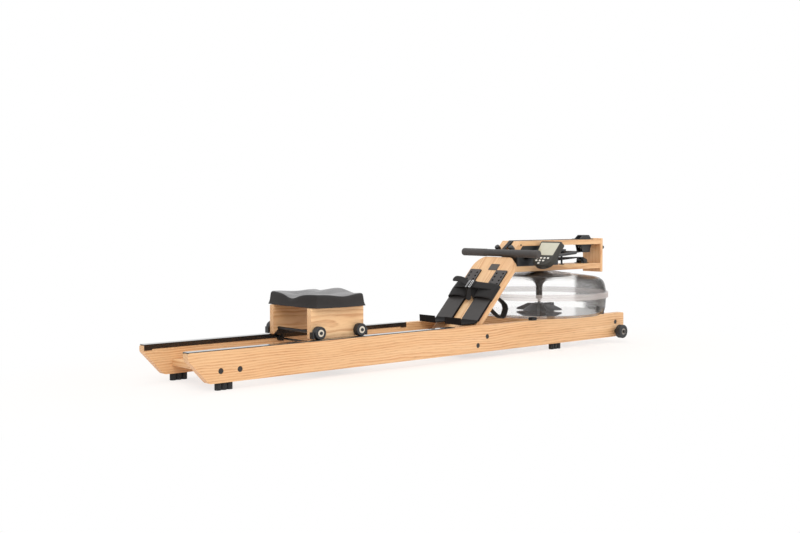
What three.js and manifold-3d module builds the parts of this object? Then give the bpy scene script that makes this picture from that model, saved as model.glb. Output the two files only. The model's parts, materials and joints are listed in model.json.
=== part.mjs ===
// Water rowing machine: two wooden rails carry a rolling seat, a sloping footboard and a clear water
// tank with a paddle. A wooden deck over the tank holds the belt drum, its pulleys and the handle.
// Millimetres. X runs from the rear end of the rails to the front, Y to the far side, Z up from the floor.
import * as THREE from 'three';
import { mergeVertices } from 'three/addons/utils/BufferGeometryUtils.js';
import Module from 'manifold-3d';

const wasm = await Module();
wasm.setup();

// Clearances and counts
const fit = { gap: 0.3, bore: 0.4, seat: 0.35, overrun: 2, weld: 0.0005 };
const steps = {
  fine: 18, round: 12, small: 10, hex: 6, arc: 2, wide: 4, chamfer: 1, tank: 32, curve: 6, twist: 12, edge: 2,
  fold: 5,
};
const quarter = Math.PI / 2;

// Side rails and what stands under them
const foot = { height: 23.4, lobes: 3, radius: 10.5, pitch: 20, rear: 111, front: 1652 };
const rail = {
  length: 2100, height: 98.9, thickness: 28.8, spacing: 243,
  rearFace: 21.3, undercut: 73, topCorner: 7, chinCorner: 12, bottomCorner: 17, frontCorner: 5,
};
const railBottom = foot.height;
const railTop = railBottom + rail.height;
const railInner = rail.spacing / 2;
const railOuter = railInner + rail.thickness;
const railMiddle = railInner + rail.thickness / 2;

// Running tracks on the rails
const track = {
  start: 1.5, length: 1104, plate: 2.5, lip: 2, lipDrop: 13, outerMargin: 1.8, capLength: 27, capDrop: 16.5,
  capLip: 2.3,
};
const trackTop = railTop + track.plate;

// Through bolts
const bolt = { shank: 5, head: 9, headDepth: 7, sunk: 1, clearance: 0.5 };

// Cross members between the rails
const rearBlock = { start: 101, length: 94, bottom: 49, height: 22, corner: 4, boltShares: [0.135, 0.865] };
const frontBlock = { inset: 76, length: 43, bottom: 34, height: 70, corner: 4, boltInset: 55, boltZ: 85 };
const frontBlockStart = rail.length - frontBlock.inset;
const transport = {
  axleInset: 53, axleZ: 47, axle: 6, spacer: 9, spacerLength: 16.6, wheel: 28, width: 25, shoulder: 4,
  hub: 13, hubDepth: 2, nut: 6.5, nutLength: 4,
};
const transportX = rail.length - transport.axleInset;

// Footboard: a sloping board, given by the floor line of its front face and its angle from the floor
const board = {
  floorX: 1141, angle: THREE.MathUtils.degToRad(46.83), thickness: 25.2, halfWidth: 108, corner: 62,
  lower: 105, edge: 5,
};
const beam = {
  rear: 1198, front: 1300, bottom: 32, top: 116, noseShare: 0.36, boltLow: [1223, 49.6], boltHigh: [1272, 80],
  corner: 3,
};

// Handle, parked on the upper end of the footboard
const handle = { x: 1498, z: 383.6, radius: 15.25, halfLength: 205, endRound: 5, slotDepth: 7 };

// Foot plates, heel rests and straps, measured along the slope from the floor line
const plate = {
  centre: 70, width: 60, top: 434, bottom: 176, thickness: 4, corner: 5, holePitch: 17.3, holeRows: 8,
  holeSpread: 34, hole: 3.3, holeMargin: 17,
};
const heel = {
  centre: 70, width: 86, top: 348, bottom: 180, lift: 7, thickness: 3.4, curl: 34, shelf: 64, lip: 23,
  skirt: 3,
};
const strap = {
  lower: 284, width: 68, thickness: 2.4, rise: 27.5, sideReach: 0.5, leg: 11, tuck: 30, fullShare: 0.7,
};

// Deck over the tank
const deck = {
  halfWidth: 48, bottomZ: 307.3, bottomThickness: 22, topZ: 410.5, topThickness: 19.5, overhang: 339,
  frontThickness: 16, frontBottom: 291, frontTop: 435, corner: 3, joint: 0.35, shaftHole: 7.2,
};
// The nose under the top plank and its two pegs, measured along the slope and out from the footboard's front
const nose = { lower: 540, face: -13.65, back: -37.2, corner: 2, slot: 12.6, slotEnd: 1592 };
const peg = { spread: 37, radius: 10.7, along: 555.6, tip: 6.9, crown: 5, crownSteps: 3 };
const deckPlankTop = deck.topZ + deck.topThickness;
const deckFloor = deck.bottomZ + deck.bottomThickness;
const knob = {
  y: -39, z: 396, stem: 4.5, radius: 8, length: 12.5, head: 9,
  profileShares: [[0.8, 0], [1, 0.3], [1, 0.7], [0.7, 1]],
};

// Belts and pulleys
const belt = { width: 18, thickness: 1.6 };
const rearPulley = { x: 1568, radius: 16.5, flange: 2, width: 22, axle: 4 };
const frontPulley = { inset: 56, radius: 25.3, flange: 2.2, width: 22, axle: 4 };
const recoilPulley = { inset: 70, radius: 11, flange: 1.5, width: 22, axle: 3 };
const beltTop = deckPlankTop + belt.thickness / 2 + fit.seat * 2;
const drum = {
  core: 32, flange: 40, flangeThickness: 3, lift: 1, height: 76, lowerBelt: 15, upperBelt: 46, boss: 18.2,
  wrap: THREE.MathUtils.degToRad(150),
};
const drumBottom = deckFloor + drum.lift;
const guard = { start: 1549, beyond: 64, wall: 3, inset: 1.5, corner: 10, window: [36, 30, 14] };
const upperBracket = {
  cheek: 3.6, slack: 1.2, baseHalf: 45, topHalf: 19, cover: 19, under: 35, underHalf: 24, flangeReach: 10,
  flangeThickness: 3.4, slotHalf: 37, corner: 3, underCorner: 4,
};
const upperCheekInner = frontPulley.width / 2 + upperBracket.slack;
const upperCheekOuter = upperCheekInner + upperBracket.cheek;
const upperSlotHalf = upperCheekOuter + fit.gap;
const lowerBracket = {
  cheek: 3, slack: 1.2, rear: 16, front: 22, height: 21, foot: 8, footThickness: 2.4, wall: 3, cap: 8,
  capLength: 4, frontCorner: 4, topCorner: 5, frontShare: 0.7, topShares: [0.3, -0.5],
};
const recoilSlot = { start: 10.5, length: 6, half: 11.5, drop: 16, clampHeight: 7, clampReach: 7 };

// Water tank: bowl, lid, bearing housing and paddle
const tank = {
  rear: 1460, radius: 272, rim: 7.5, bottom: 128, seam: 212, flangeHeight: 11, wall: 4, draft: 6,
  bowlCorner: 34, shoulder: 46, shoulderZ: 238, shoulderShare: 0.86, top: 306.6, flat: 60, hubHole: 20,
  socket: 14, socketHeight: 7,
};
const tankX = tank.rear + tank.radius;
const tankFlange = tank.radius + tank.rim;
const deckFront = tankX + deck.overhang;
const frontPulleyX = deckFront - frontPulley.inset;
const recoilPulleyX = deckFront - recoilPulley.inset;
const tankPad = { placeShares: [-0.706, 0.838], length: 26, width: 22, height: 34 };
const bearing = {
  sleeve: 13, bottom: 190, sleeveTop: 238, disc: 132, discZ: 284.5, discThickness: 4, collar: 30,
  shoulder: 60, widenShare: 2.4, riseShare: 2.2,
};
// The drum turns the paddle through a one-way clutch in the bearing, where their two shafts meet
const shaft = { radius: 6, foot: 0.6, meeting: 244, meetingGap: 2 };
const paddle = {
  vanes: 6, thickness: 4, hub: 17, hubFoot: 0.5, tip: 94, tipZ: 147.5, topZ: 172, bottomZ: 140.5, topHalf: 47,
  bottomHalf: 42, tipHeight: 6,
};

// Seat carriage
const seat = { rear: 477, length: 222, panel: 21.2, outer: 117.7, bottom: 126, top: 226.7, corner: 3 };
const seatWheel = {
  radius: 21.5, width: 23, inner: 121.2, rearInset: 22, frontInset: 27, shoulder: 3, hub: 9, hubDepth: 1.4,
  axle: 5, nut: 5.6, nutLength: 3,
};
const keeper = { x: 515, z: 108.5, rod: 4, roller: 9.5, rollerWidth: 13, hangerWidth: 10 };
const cushion = {
  inset: 2, halfWidth: 148, height: 46, flare: 7, shoulder: 9, flankShares: [0.7, 0.3],
  shoulderShares: [0, 0.5, 1], cornerShare: 0.3, around: 48, rings: 7,
};
// The swells and hollows of the cushion's top: how high, and where as shares of its half length and width
const pommel = { height: 8, widthShare: 0.3 };
const thighs = { height: -5, placeShare: 0.62, widthShare: 0.24 };
const sitBones = { height: -15, placeShare: 0.36, widthShare: 0.26, alongShare: -0.2, lengthShare: 0.5 };
const tailNotch = { height: -17, widthShare: 0.28, startShare: -0.35, lengthShare: -0.6 };
const flanks = { height: -8, startShare: 0.6, riseShare: 0.4, alongShare: 0.05, lengthShare: 0.45 };
const frontRise = { startShare: 0.1, lengthShare: 0.8 };

// Monitor on its arm
const monitor = {
  x: 1653.5, y: -112, z: 399.3, tilt: THREE.MathUtils.degToRad(38), topHalf: 55, lowHalf: 50.5, above: 39,
  straight: 48, chin: 36, depth: 26, bevel: 3, topCorner: 7,
};
const screen = { topHalf: 48, lowHalf: 43, above: 31, below: 31, depth: 1.2, corner: 2 };
const key = {
  width: 10, height: 7, corner: 2, pitch: 18, rowPitch: 12.6, firstRow: 45.5, proud: 1.2, well: 3, travel: 1,
};
// Where the keys of each row lie, as shares of the pitch from the middle of the screen
const keyRowShares = [[-1.5, -0.5, 0.5, 1.5], [-1.5, -0.5, 0.5], [-0.5]];
const post = {
  beyondTank: 91, y: -42, radius: 4, footRadius: 10, footHeight: 3, top: 392, clampZ: 368, clampHeight: 25,
  clampLength: 26, clampWidth: 16, arm: 6, armZ: 380, knuckle: 7, knuckleWidth: 14, ear: 5, pin: 3,
  hingeDrop: 14,
};
const postX = tankX + post.beyondTank;

const wood = () => new THREE.MeshStandardMaterial({ color: 0xe8c08a, roughness: 0.55, metalness: 0 });
const blackPlastic = () => new THREE.MeshStandardMaterial({ color: 0x1f2123, roughness: 0.45, metalness: 0 });
const greyPlastic = () => new THREE.MeshStandardMaterial({ color: 0x6a6664, roughness: 0.55, metalness: 0 });
const rubber = () => new THREE.MeshStandardMaterial({ color: 0x2a2c2e, roughness: 0.85, metalness: 0 });
const clear = () => new THREE.MeshStandardMaterial({
  color: 0xe8eef0, roughness: 0.08, transparent: true, opacity: 0.3,
});
const steel = () => new THREE.MeshStandardMaterial({ color: 0x8f9296, roughness: 0.3, metalness: 1 });
const webbing = () => new THREE.MeshStandardMaterial({ color: 0x1b1b1c, roughness: 0.95, metalness: 0 });

// A closed geometry as a solid: shared corners merged and the faces turned outwards
function solid(source) {
  const geometry = source.clone();
  geometry.deleteAttribute('normal');
  geometry.deleteAttribute('uv');
  const merged = mergeVertices(geometry, fit.weld);
  const p = merged.attributes.position;
  const corners = merged.index.array;
  const triVerts = [];
  let volume = 0;
  const [a, b, c] = [new THREE.Vector3(), new THREE.Vector3(), new THREE.Vector3()];
  for (let i = 0; i < corners.length; i += 3) {
    const [i0, i1, i2] = [corners[i], corners[i + 1], corners[i + 2]];
    if (i0 === i1 || i1 === i2 || i2 === i0) continue;
    a.fromBufferAttribute(p, i0);
    b.fromBufferAttribute(p, i1);
    c.fromBufferAttribute(p, i2);
    volume += a.dot(b.clone().cross(c));
    triVerts.push(i0, i1, i2);
  }
  if (volume < 0) {
    for (let i = 0; i < triVerts.length; i += 3) {
      [triVerts[i], triVerts[i + 1]] = [triVerts[i + 1], triVerts[i]];
    }
  }
  return new wasm.Manifold(new wasm.Mesh({
    numProp: 3, vertProperties: Float32Array.from(p.array), triVerts: Uint32Array.from(triVerts),
  }));
}

function geometryOf(manifold) {
  const mesh = manifold.getMesh();
  const geometry = new THREE.BufferGeometry();
  geometry.setAttribute('position', new THREE.BufferAttribute(Float32Array.from(mesh.vertProperties), 3));
  geometry.setIndex(new THREE.BufferAttribute(Uint32Array.from(mesh.triVerts), 1));
  geometry.computeVertexNormals();
  return geometry;
}

const union = (...parts) => parts.reduce((whole, part) => whole.add(part));
const cut = (body, ...tools) => tools.reduce((left, tool) => left.subtract(tool), body);

function box([x0, x1], [y0, y1], [z0, z1]) {
  const geometry = new THREE.BoxGeometry(x1 - x0, y1 - y0, z1 - z0);
  geometry.translate((x0 + x1) / 2, (y0 + y1) / 2, (z0 + z1) / 2);
  return solid(geometry);
}

// A closed outline from corners [x, y, radius], each rounded by a true arc
function outline(corners) {
  const shape = new THREE.Shape();
  corners.forEach(([x, y, radius = 0], i) => {
    const before = corners[(i + corners.length - 1) % corners.length];
    const after = corners[(i + 1) % corners.length];
    const corner = new THREE.Vector2(x, y);
    const back = new THREE.Vector2(before[0], before[1]).sub(corner).normalize();
    const ahead = new THREE.Vector2(after[0], after[1]).sub(corner).normalize();
    const half = Math.acos(THREE.MathUtils.clamp(back.dot(ahead), -1, 1)) / 2;
    const reach = radius / Math.tan(half);
    const start = corner.clone().addScaledVector(back, reach);
    if (i === 0) shape.moveTo(start.x, start.y);
    else shape.lineTo(start.x, start.y);
    if (radius > 0) {
      const middle = back.clone().add(ahead).normalize();
      const centre = corner.clone().addScaledVector(middle, radius / Math.sin(half));
      const end = corner.clone().addScaledVector(ahead, reach);
      const turnsRight = back.cross(ahead) > 0;
      const [from, to] = [start.clone().sub(centre).angle(), end.clone().sub(centre).angle()];
      shape.absarc(centre.x, centre.y, radius, from, to, turnsRight);
    }
  });
  shape.closePath();
  return shape;
}

const rectangle = (x0, x1, y0, y1, radius = 0) =>
  outline([[x0, y0, radius], [x1, y0, radius], [x1, y1, radius], [x0, y1, radius]]);

// An outline drawn in X and Z, extruded along Y from y0 to y1
function acrossY(shape, y0, y1, curveSegments = steps.arc) {
  const geometry = new THREE.ExtrudeGeometry(shape, { depth: y1 - y0, bevelEnabled: false, curveSegments });
  geometry.rotateX(quarter);
  geometry.translate(0, y1, 0);
  return solid(geometry);
}

// An outline drawn in X and Y, extruded along Z from z0 to z1
function alongZ(shape, z0, z1, curveSegments = steps.arc) {
  const geometry = new THREE.ExtrudeGeometry(shape, { depth: z1 - z0, bevelEnabled: false, curveSegments });
  geometry.translate(0, 0, z0);
  return solid(geometry);
}

// A round rod between two points
function rod(from, to, radius, sides = steps.round) {
  const [start, end] = [new THREE.Vector3(...from), new THREE.Vector3(...to)];
  const direction = end.clone().sub(start);
  const geometry = new THREE.CylinderGeometry(radius, radius, direction.length(), sides);
  geometry.applyQuaternion(new THREE.Quaternion().setFromUnitVectors(new THREE.Vector3(0, 1, 0),
    direction.clone().normalize()));
  geometry.translate(...start.add(end).multiplyScalar(1 / 2).toArray());
  return solid(geometry);
}

// A turned body from [radius, height] points, about Y or Z
function turned(points, sides, axis = 'z') {
  const closed = points[0][0] > 0 ? [...points, points[0]] : points;
  const geometry = new THREE.LatheGeometry(closed.map(([r, h]) => new THREE.Vector2(r, h)), sides);
  if (axis === 'z') geometry.rotateX(quarter);
  return solid(geometry);
}

function arc(cx, cy, radius, from, to, count) {
  return Array.from({ length: count + 1 }, (_, i) => {
    const angle = from + ((to - from) * i) / count;
    return [cx + radius * Math.cos(angle), cy + radius * Math.sin(angle)];
  });
}

// A flat band through stations { at, across, up }, closed at both ends
function band(stations, width, thickness) {
  const positions = [];
  stations.forEach(({ at, across, up }) => {
    [[-1, -1], [1, -1], [1, 1], [-1, 1]].forEach(([side, level]) => {
      const corner = at.clone().addScaledVector(across, (side * width) / 2);
      positions.push(...corner.addScaledVector(up, (level * thickness) / 2).toArray());
    });
  });
  const index = [0, 1, 2, 0, 2, 3];
  for (let i = 0; i + 1 < stations.length; i += 1) {
    for (let k = 0; k < 4; k += 1) {
      const [a, b] = [4 * i + k, 4 * i + ((k + 1) % 4)];
      index.push(a, a + 4, b, b, a + 4, b + 4);
    }
  }
  const last = 4 * (stations.length - 1);
  index.push(last, last + 2, last + 1, last, last + 3, last + 2);
  const geometry = new THREE.BufferGeometry();
  geometry.setAttribute('position', new THREE.Float32BufferAttribute(positions, 3));
  geometry.setIndex(index);
  return solid(geometry);
}

const machine = new THREE.Group();
machine.position.x = -rail.length / 2;

function add(name, body, material, group = machine) {
  const mesh = new THREE.Mesh(geometryOf(body), material);
  mesh.name = name;
  group.add(mesh);
  return mesh;
}

const sides = [['near', -1], ['far', 1]];
const sorted = (a, b) => (a < b ? [a, b] : [b, a]);

// Feet: three upright lobes side by side, screwed under the rails
function footBlock(start, y) {
  return union(...Array.from({ length: foot.lobes }, (_, i) => {
    const x = start + i * foot.pitch;
    return rod([x, y, 0], [x, y, foot.height - fit.gap], foot.radius, steps.round);
  }));
}
[['rear', foot.rear], ['front', foot.front]].forEach(([end, start]) => {
  sides.forEach(([side, sign]) => add(`foot_${end}_${side}`, footBlock(start, sign * railMiddle), rubber()));
});

// Through bolts: head, shank and the recess each one needs in the rail
const boltPlaces = [
  ...rearBlock.boltShares.map((share) => [rearBlock.start + share * rearBlock.length,
    rearBlock.bottom + rearBlock.height / 2]),
  beam.boltLow, beam.boltHigh, [rail.length - frontBlock.boltInset, frontBlock.boltZ],
];
const rearBolts = boltPlaces.slice(0, 2);
const beamBolts = boltPlaces.slice(2, 4);
const frontBolts = boltPlaces.slice(4);
const headOuter = railOuter - bolt.sunk;
function boltBody(x, z, sign) {
  const neck = headOuter - bolt.headDepth;
  const at = (y) => [x, sign * y, z];
  return union(
    rod(at(railInner - fit.overrun), at(neck + fit.overrun), bolt.shank, steps.small),
    rod(at(neck), at(headOuter), bolt.head, steps.round),
  );
}
function boltRecess(x, z, sign) {
  const floor = headOuter - bolt.headDepth - bolt.clearance;
  const at = (y) => [x, sign * y, z];
  return union(
    rod(at(railInner - fit.overrun), at(railOuter + fit.overrun), bolt.shank + bolt.clearance, steps.small),
    rod(at(floor), at(railOuter + fit.overrun), bolt.head + bolt.clearance, steps.round),
  );
}

// Tank outlines: the outer skin, or the inner one when it is moved in by the wall
const bowlSkin = (inward) => [
  [0, tank.bottom + inward],
  ...arc(tank.radius - tank.draft - tank.bowlCorner, tank.bottom + tank.bowlCorner, tank.bowlCorner - inward,
    -quarter, 0, steps.curve),
  [tank.radius - inward, tank.seam - tank.flangeHeight],
];
const lidSkin = (inward) => [
  [tank.radius - inward, tank.seam + tank.flangeHeight],
  ...arc(tank.radius - tank.draft - tank.shoulder, tank.shoulderZ, tank.shoulder - inward, 0,
    quarter * tank.shoulderShare, steps.curve),
  [tank.flat, tank.top - inward],
];

// Side rails, with recesses for the bolts
function sideRail(sign) {
  const profile = outline([
    [rail.undercut, railBottom, rail.bottomCorner],
    [rail.length, railBottom, rail.frontCorner],
    [rail.length, railTop, rail.topCorner],
    [0, railTop, rail.topCorner],
    [0, railTop - rail.rearFace, rail.chinCorner],
  ]);
  const [y0, y1] = sorted(sign * railInner, sign * railOuter);
  return cut(
    acrossY(profile, y0, y1, steps.wide),
    ...boltPlaces.map(([x, z]) => boltRecess(x, z, sign)),
    rod([transportX, sign * (railInner - fit.overrun), transport.axleZ],
      [transportX, sign * (railOuter + fit.overrun), transport.axleZ],
      transport.axle + bolt.clearance, steps.small),
  );
}
sides.forEach(([side, sign]) => add(`rail_${side}`, sideRail(sign), wood()));

// Tracks: a plate on the rail, a lip down its inner face and a cap at each end
function runningTrack(sign) {
  const inner = railInner - fit.gap - track.lip;
  const outer = railOuter - track.outerMargin;
  const end = track.start + track.length;
  const span = (a, b) => sorted(sign * a, sign * b);
  const parts = [
    box([track.start, end], span(inner, outer), [railTop + fit.gap, trackTop]),
    box([track.start, end], span(inner, inner + track.lip), [railTop - track.lipDrop, trackTop]),
  ];
  [track.start, end - track.capLength].forEach((x) => {
    parts.push(box([x, x + track.capLength], span(inner + track.lip - track.capLip, inner + track.lip),
      [railTop - track.capDrop, trackTop]));
  });
  return union(...parts);
}
sides.forEach(([side, sign]) => add(`track_${side}`, runningTrack(sign), blackPlastic()));

// Cross members, each with its bolts
const blockHalf = railInner - fit.gap;
const bolted = (body, places) =>
  union(body, ...places.flatMap(([x, z]) => sides.map(([, s]) => boltBody(x, z, s))));

const rearPlank = acrossY(rectangle(rearBlock.start, rearBlock.start + rearBlock.length, rearBlock.bottom,
  rearBlock.bottom + rearBlock.height, rearBlock.corner), -blockHalf, blockHalf);
add('rear_block', bolted(rearPlank, rearBolts), wood());

const frontPlank = acrossY(rectangle(frontBlockStart, frontBlockStart + frontBlock.length, frontBlock.bottom,
  frontBlock.bottom + frontBlock.height, frontBlock.corner), -blockHalf, blockHalf);
const spacerEnd = railOuter + fit.gap + transport.spacerLength;
const wheelStart = spacerEnd + fit.seat;
const wheelEnd = wheelStart + transport.width;
const axleEnd = wheelEnd + fit.seat + transport.nutLength;
const axleRods = sides.flatMap(([, s]) => {
  const at = (y) => [transportX, s * y, transport.axleZ];
  return [
    rod(at(blockHalf - fit.overrun), at(axleEnd), transport.axle, steps.small),
    rod(at(railOuter + fit.gap), at(spacerEnd), transport.spacer, steps.round),
    rod(at(wheelEnd + fit.seat), at(axleEnd), transport.nut, steps.hex),
  ];
});
add('front_block', union(bolted(frontPlank, frontBolts), ...axleRods), wood());

function transportWheel(sign) {
  const r = transport.wheel;
  const half = transport.width / 2;
  const bore = transport.axle + fit.bore;
  const shoulder = transport.shoulder;
  const hubFace = half - transport.hubDepth;
  const wheel = turned([
    [bore, -hubFace], [transport.hub, -hubFace], [transport.hub, -half], [r - shoulder, -half],
    ...arc(r - shoulder, -half + shoulder, shoulder, -quarter, 0, steps.edge),
    ...arc(r - shoulder, half - shoulder, shoulder, 0, quarter, steps.edge),
    [transport.hub, half], [transport.hub, hubFace], [bore, hubFace],
  ], steps.fine, 'y');
  return wheel.translate([transportX, sign * (wheelStart + half), transport.axleZ]);
}
sides.forEach(([side, sign]) => add(`transport_wheel_${side}`, transportWheel(sign), rubber()));

// The slope frame: s runs up the board, y across it and d out of its front face towards the rower
const slopeUp = new THREE.Vector3(Math.cos(board.angle), 0, Math.sin(board.angle));
const slopeOut = new THREE.Vector3(-Math.sin(board.angle), 0, Math.cos(board.angle));
const slopeAcross = new THREE.Vector3().crossVectors(slopeOut, slopeUp);
const onSlope = (s, d) => [board.floorX + s * slopeUp.x + d * slopeOut.x, s * slopeUp.z + d * slopeOut.z];
const slopeMatrix = new THREE.Matrix4().makeBasis(slopeUp, slopeAcross, slopeOut)
  .setPosition(board.floorX, 0, 0);
const toSlope = (geometry) => solid(geometry.applyMatrix4(slopeMatrix));
const slopeX = (z, d) => onSlope((z - d * slopeOut.z) / slopeUp.z, d)[0];
const handleAlong = (handle.x - board.floorX) * slopeUp.x + handle.z * slopeUp.z;
const boardTop = handleAlong - handle.radius - fit.seat;

// Footboard: rounded upper corners and a softened upper edge for the handle to rest on
function footboard() {
  const h = board.halfWidth;
  const shape = outline([[board.lower, -h, 0], [boardTop, -h, board.corner], [boardTop, h, board.corner],
    [board.lower, h, 0]]);
  const slab = new THREE.ExtrudeGeometry(shape, { depth: board.thickness, bevelEnabled: false,
    curveSegments: steps.wide });
  slab.translate(0, 0, -board.thickness);
  const corner = onSlope(boardTop, 0);
  const [ex, ez] = [slopeUp, slopeOut].map((v) => new THREE.Vector2(v.x, v.z).multiplyScalar(board.edge));
  const reach = 1 + fit.overrun / board.edge;
  const wedge = outline([
    [corner[0] - ex.x, corner[1] - ex.y, 0],
    [corner[0] - ez.x, corner[1] - ez.y, 0],
    [corner[0] + reach * ex.x - ez.x, corner[1] + reach * ex.y - ez.y, 0],
    [corner[0] + reach * (ex.x + ez.x), corner[1] + reach * (ex.y + ez.y), 0],
    [corner[0] + reach * ez.x - ex.x, corner[1] + reach * ez.y - ex.y, 0],
  ]);
  return cut(toSlope(slab), acrossY(wedge, -h - fit.overrun, h + fit.overrun));
}
add('footboard', footboard(), wood());

// Beam behind the footboard: its lower end sits in a step cut to the slope
function footboardBeam() {
  const backDepth = -board.thickness - fit.seat;
  const end = board.lower - fit.seat;
  const [frontX, frontZ] = onSlope(end, 0);
  const [innerX, innerZ] = onSlope(end, backDepth);
  const topX = innerX + ((beam.top - innerZ) * slopeUp.x) / slopeUp.z;
  const profile = outline([
    [beam.rear, beam.bottom, beam.corner], [beam.front, beam.bottom, beam.corner],
    [beam.front, beam.top, beam.corner], [topX, beam.top, 0], [innerX, innerZ, 0], [frontX, frontZ, 0],
    [beam.rear, beam.bottom + beam.noseShare * (beam.top - beam.bottom), beam.corner],
  ]);
  return bolted(acrossY(profile, -blockHalf, blockHalf), beamBolts);
}
add('footboard_beam', footboardBeam(), wood());

// Foot plates: perforated so that the heel rests can be moved up or down to suit the foot
function footPlate(sign) {
  const shape = rectangle(plate.bottom, plate.top, sign * plate.centre - plate.width / 2,
    sign * plate.centre + plate.width / 2, plate.corner);
  for (let row = 0; row < plate.holeRows; row += 1) {
    const s = plate.top - plate.holeMargin - row * plate.holePitch;
    [-1, 1].forEach((way) => {
      const hole = new THREE.Path();
      hole.absarc(s, sign * plate.centre + (way * plate.holeSpread) / 2, plate.hole, 0, 4 * quarter, true);
      shape.holes.push(hole);
    });
  }
  const geometry = new THREE.ExtrudeGeometry(shape, { depth: plate.thickness, bevelEnabled: false,
    curveSegments: steps.wide });
  geometry.translate(0, 0, fit.gap);
  return toSlope(geometry);
}
sides.forEach(([side, sign]) => add(`foot_plate_${side}`, footPlate(sign), greyPlastic()));

// Heel rests: a sole with a skirt down each side edge, which slides over the foot plate. The sole curls out
// at the heel into a shelf with a lip
function heelRest(sign) {
  const inner = heel.lift;
  const centre = onSlope(heel.bottom, inner + heel.curl);
  const start = board.angle - quarter;
  const curl = (radius) => arc(centre[0], centre[1], radius, start, start - board.angle, steps.fold);
  const under = centre[1] - heel.curl;
  const top = under + heel.thickness;
  const shelfEnd = centre[0] - heel.shelf;
  const sole = outline([
    [...onSlope(heel.top, inner), 0], [...onSlope(heel.top, inner + heel.thickness), 0],
    ...curl(heel.curl - heel.thickness).map((p) => [...p, 0]),
    [shelfEnd + heel.thickness, top, 0], [shelfEnd, top + heel.lip, 0],
    [shelfEnd - heel.thickness, top + heel.lip, 0], [shelfEnd - heel.thickness / 2, under, 0],
    ...curl(heel.curl).reverse().map((p) => [...p, 0]),
  ]);
  const [floor, middle] = [fit.seat * 2, inner + heel.thickness / 2];
  const skirt = outline([[heel.bottom, floor], [heel.top, floor], [heel.top, middle], [heel.bottom, middle]]
    .map((p) => [...onSlope(...p), 0]));
  const [y0, y1] = sorted(sign * heel.centre - heel.width / 2, sign * heel.centre + heel.width / 2);
  const skirts = [[y0, y0 + heel.skirt], [y1 - heel.skirt, y1]].map((span) => acrossY(skirt, ...span));
  return union(acrossY(sole, y0, y1), ...skirts);
}
sides.forEach(([side, sign]) => add(`heel_rest_${side}`, heelRest(sign), greyPlastic()));

// Foot straps: webbing that starts on the board inside each heel rest, arches over it, turns round the
// board's side edge and ends tucked behind the board. Drawn across the slope as (distance from the middle, d)
function footStrap(sign) {
  const span = heel.width / 2 + strap.sideReach;
  const arch = (extra) => Array.from({ length: steps.twist + 1 }, (_, i) => {
    const angle = (2 * quarter * i) / steps.twist;
    const rise = strap.rise - strap.thickness + extra - strap.leg;
    const d = strap.leg + rise * Math.sin(angle) ** strap.fullShare;
    return [heel.centre - (span + extra) * Math.cos(angle), d];
  });
  const back = -board.thickness - fit.gap;
  const end = board.halfWidth - strap.tuck;
  const far = heel.centre + span;
  const profile = [
    [heel.centre - span - strap.thickness, fit.gap], ...arch(strap.thickness),
    [far + strap.thickness, back - strap.thickness], [end, back - strap.thickness], [end, back], [far, back],
    ...arch(0).reverse(), [heel.centre - span, fit.gap],
  ];
  const shape = outline(profile.map(([y, d]) => [sign * y, d, 0]));
  const geometry = new THREE.ExtrudeGeometry(shape, { depth: strap.width, bevelEnabled: false });
  geometry.applyMatrix4(new THREE.Matrix4().makeBasis(new THREE.Vector3(0, 1, 0), new THREE.Vector3(0, 0, 1),
    new THREE.Vector3(1, 0, 0)));
  geometry.translate(strap.lower, 0, 0);
  return toSlope(geometry);
}
sides.forEach(([side, sign]) => add(`foot_strap_${side}`, footStrap(sign), webbing()));

// Tank: bowl with a pivot socket and the four pads it stands on, lid with a hole for the bearing
const tankAt = (body) => body.translate([tankX, 0, 0]);
function tankBowl() {
  const outer = bowlSkin(0);
  const inner = bowlSkin(tank.wall).slice(1).reverse();
  const rim = tank.seam - fit.gap / 2;
  const floor = tank.bottom + tank.wall;
  const hole = shaft.radius + fit.bore;
  const shell = turned([
    ...outer, [tankFlange, tank.seam - tank.flangeHeight], [tankFlange, rim], [tank.radius - tank.wall, rim],
    ...inner, [tank.socket, floor], [tank.socket, floor + tank.socketHeight],
    [hole, floor + tank.socketHeight], [hole, floor], [0, floor],
  ], steps.tank);
  const hollow = turned([...bowlSkin(tank.wall / 2), [0, tank.seam]], steps.tank);
  const pads = sides.flatMap(([, s]) => tankPad.placeShares.map((share) => {
    const middle = share * tank.radius;
    return cut(box([middle - tankPad.length / 2, middle + tankPad.length / 2],
      sorted(s * (railMiddle - tankPad.width / 2), s * (railMiddle + tankPad.width / 2)),
      [railTop + fit.gap, railTop + tankPad.height]), hollow);
  }));
  return tankAt(union(shell, ...pads));
}
add('tank_bowl', tankBowl(), clear());

function tankLid() {
  const rim = tank.seam + fit.gap / 2;
  const inner = lidSkin(tank.wall).reverse();
  return tankAt(turned([
    [tank.radius - tank.wall, rim], [tankFlange, rim], [tankFlange, tank.seam + tank.flangeHeight],
    ...lidSkin(0), [tank.hubHole, tank.top], [tank.hubHole, tank.top - tank.wall], ...inner,
  ], steps.tank));
}
add('tank_lid', tankLid(), clear());

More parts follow.
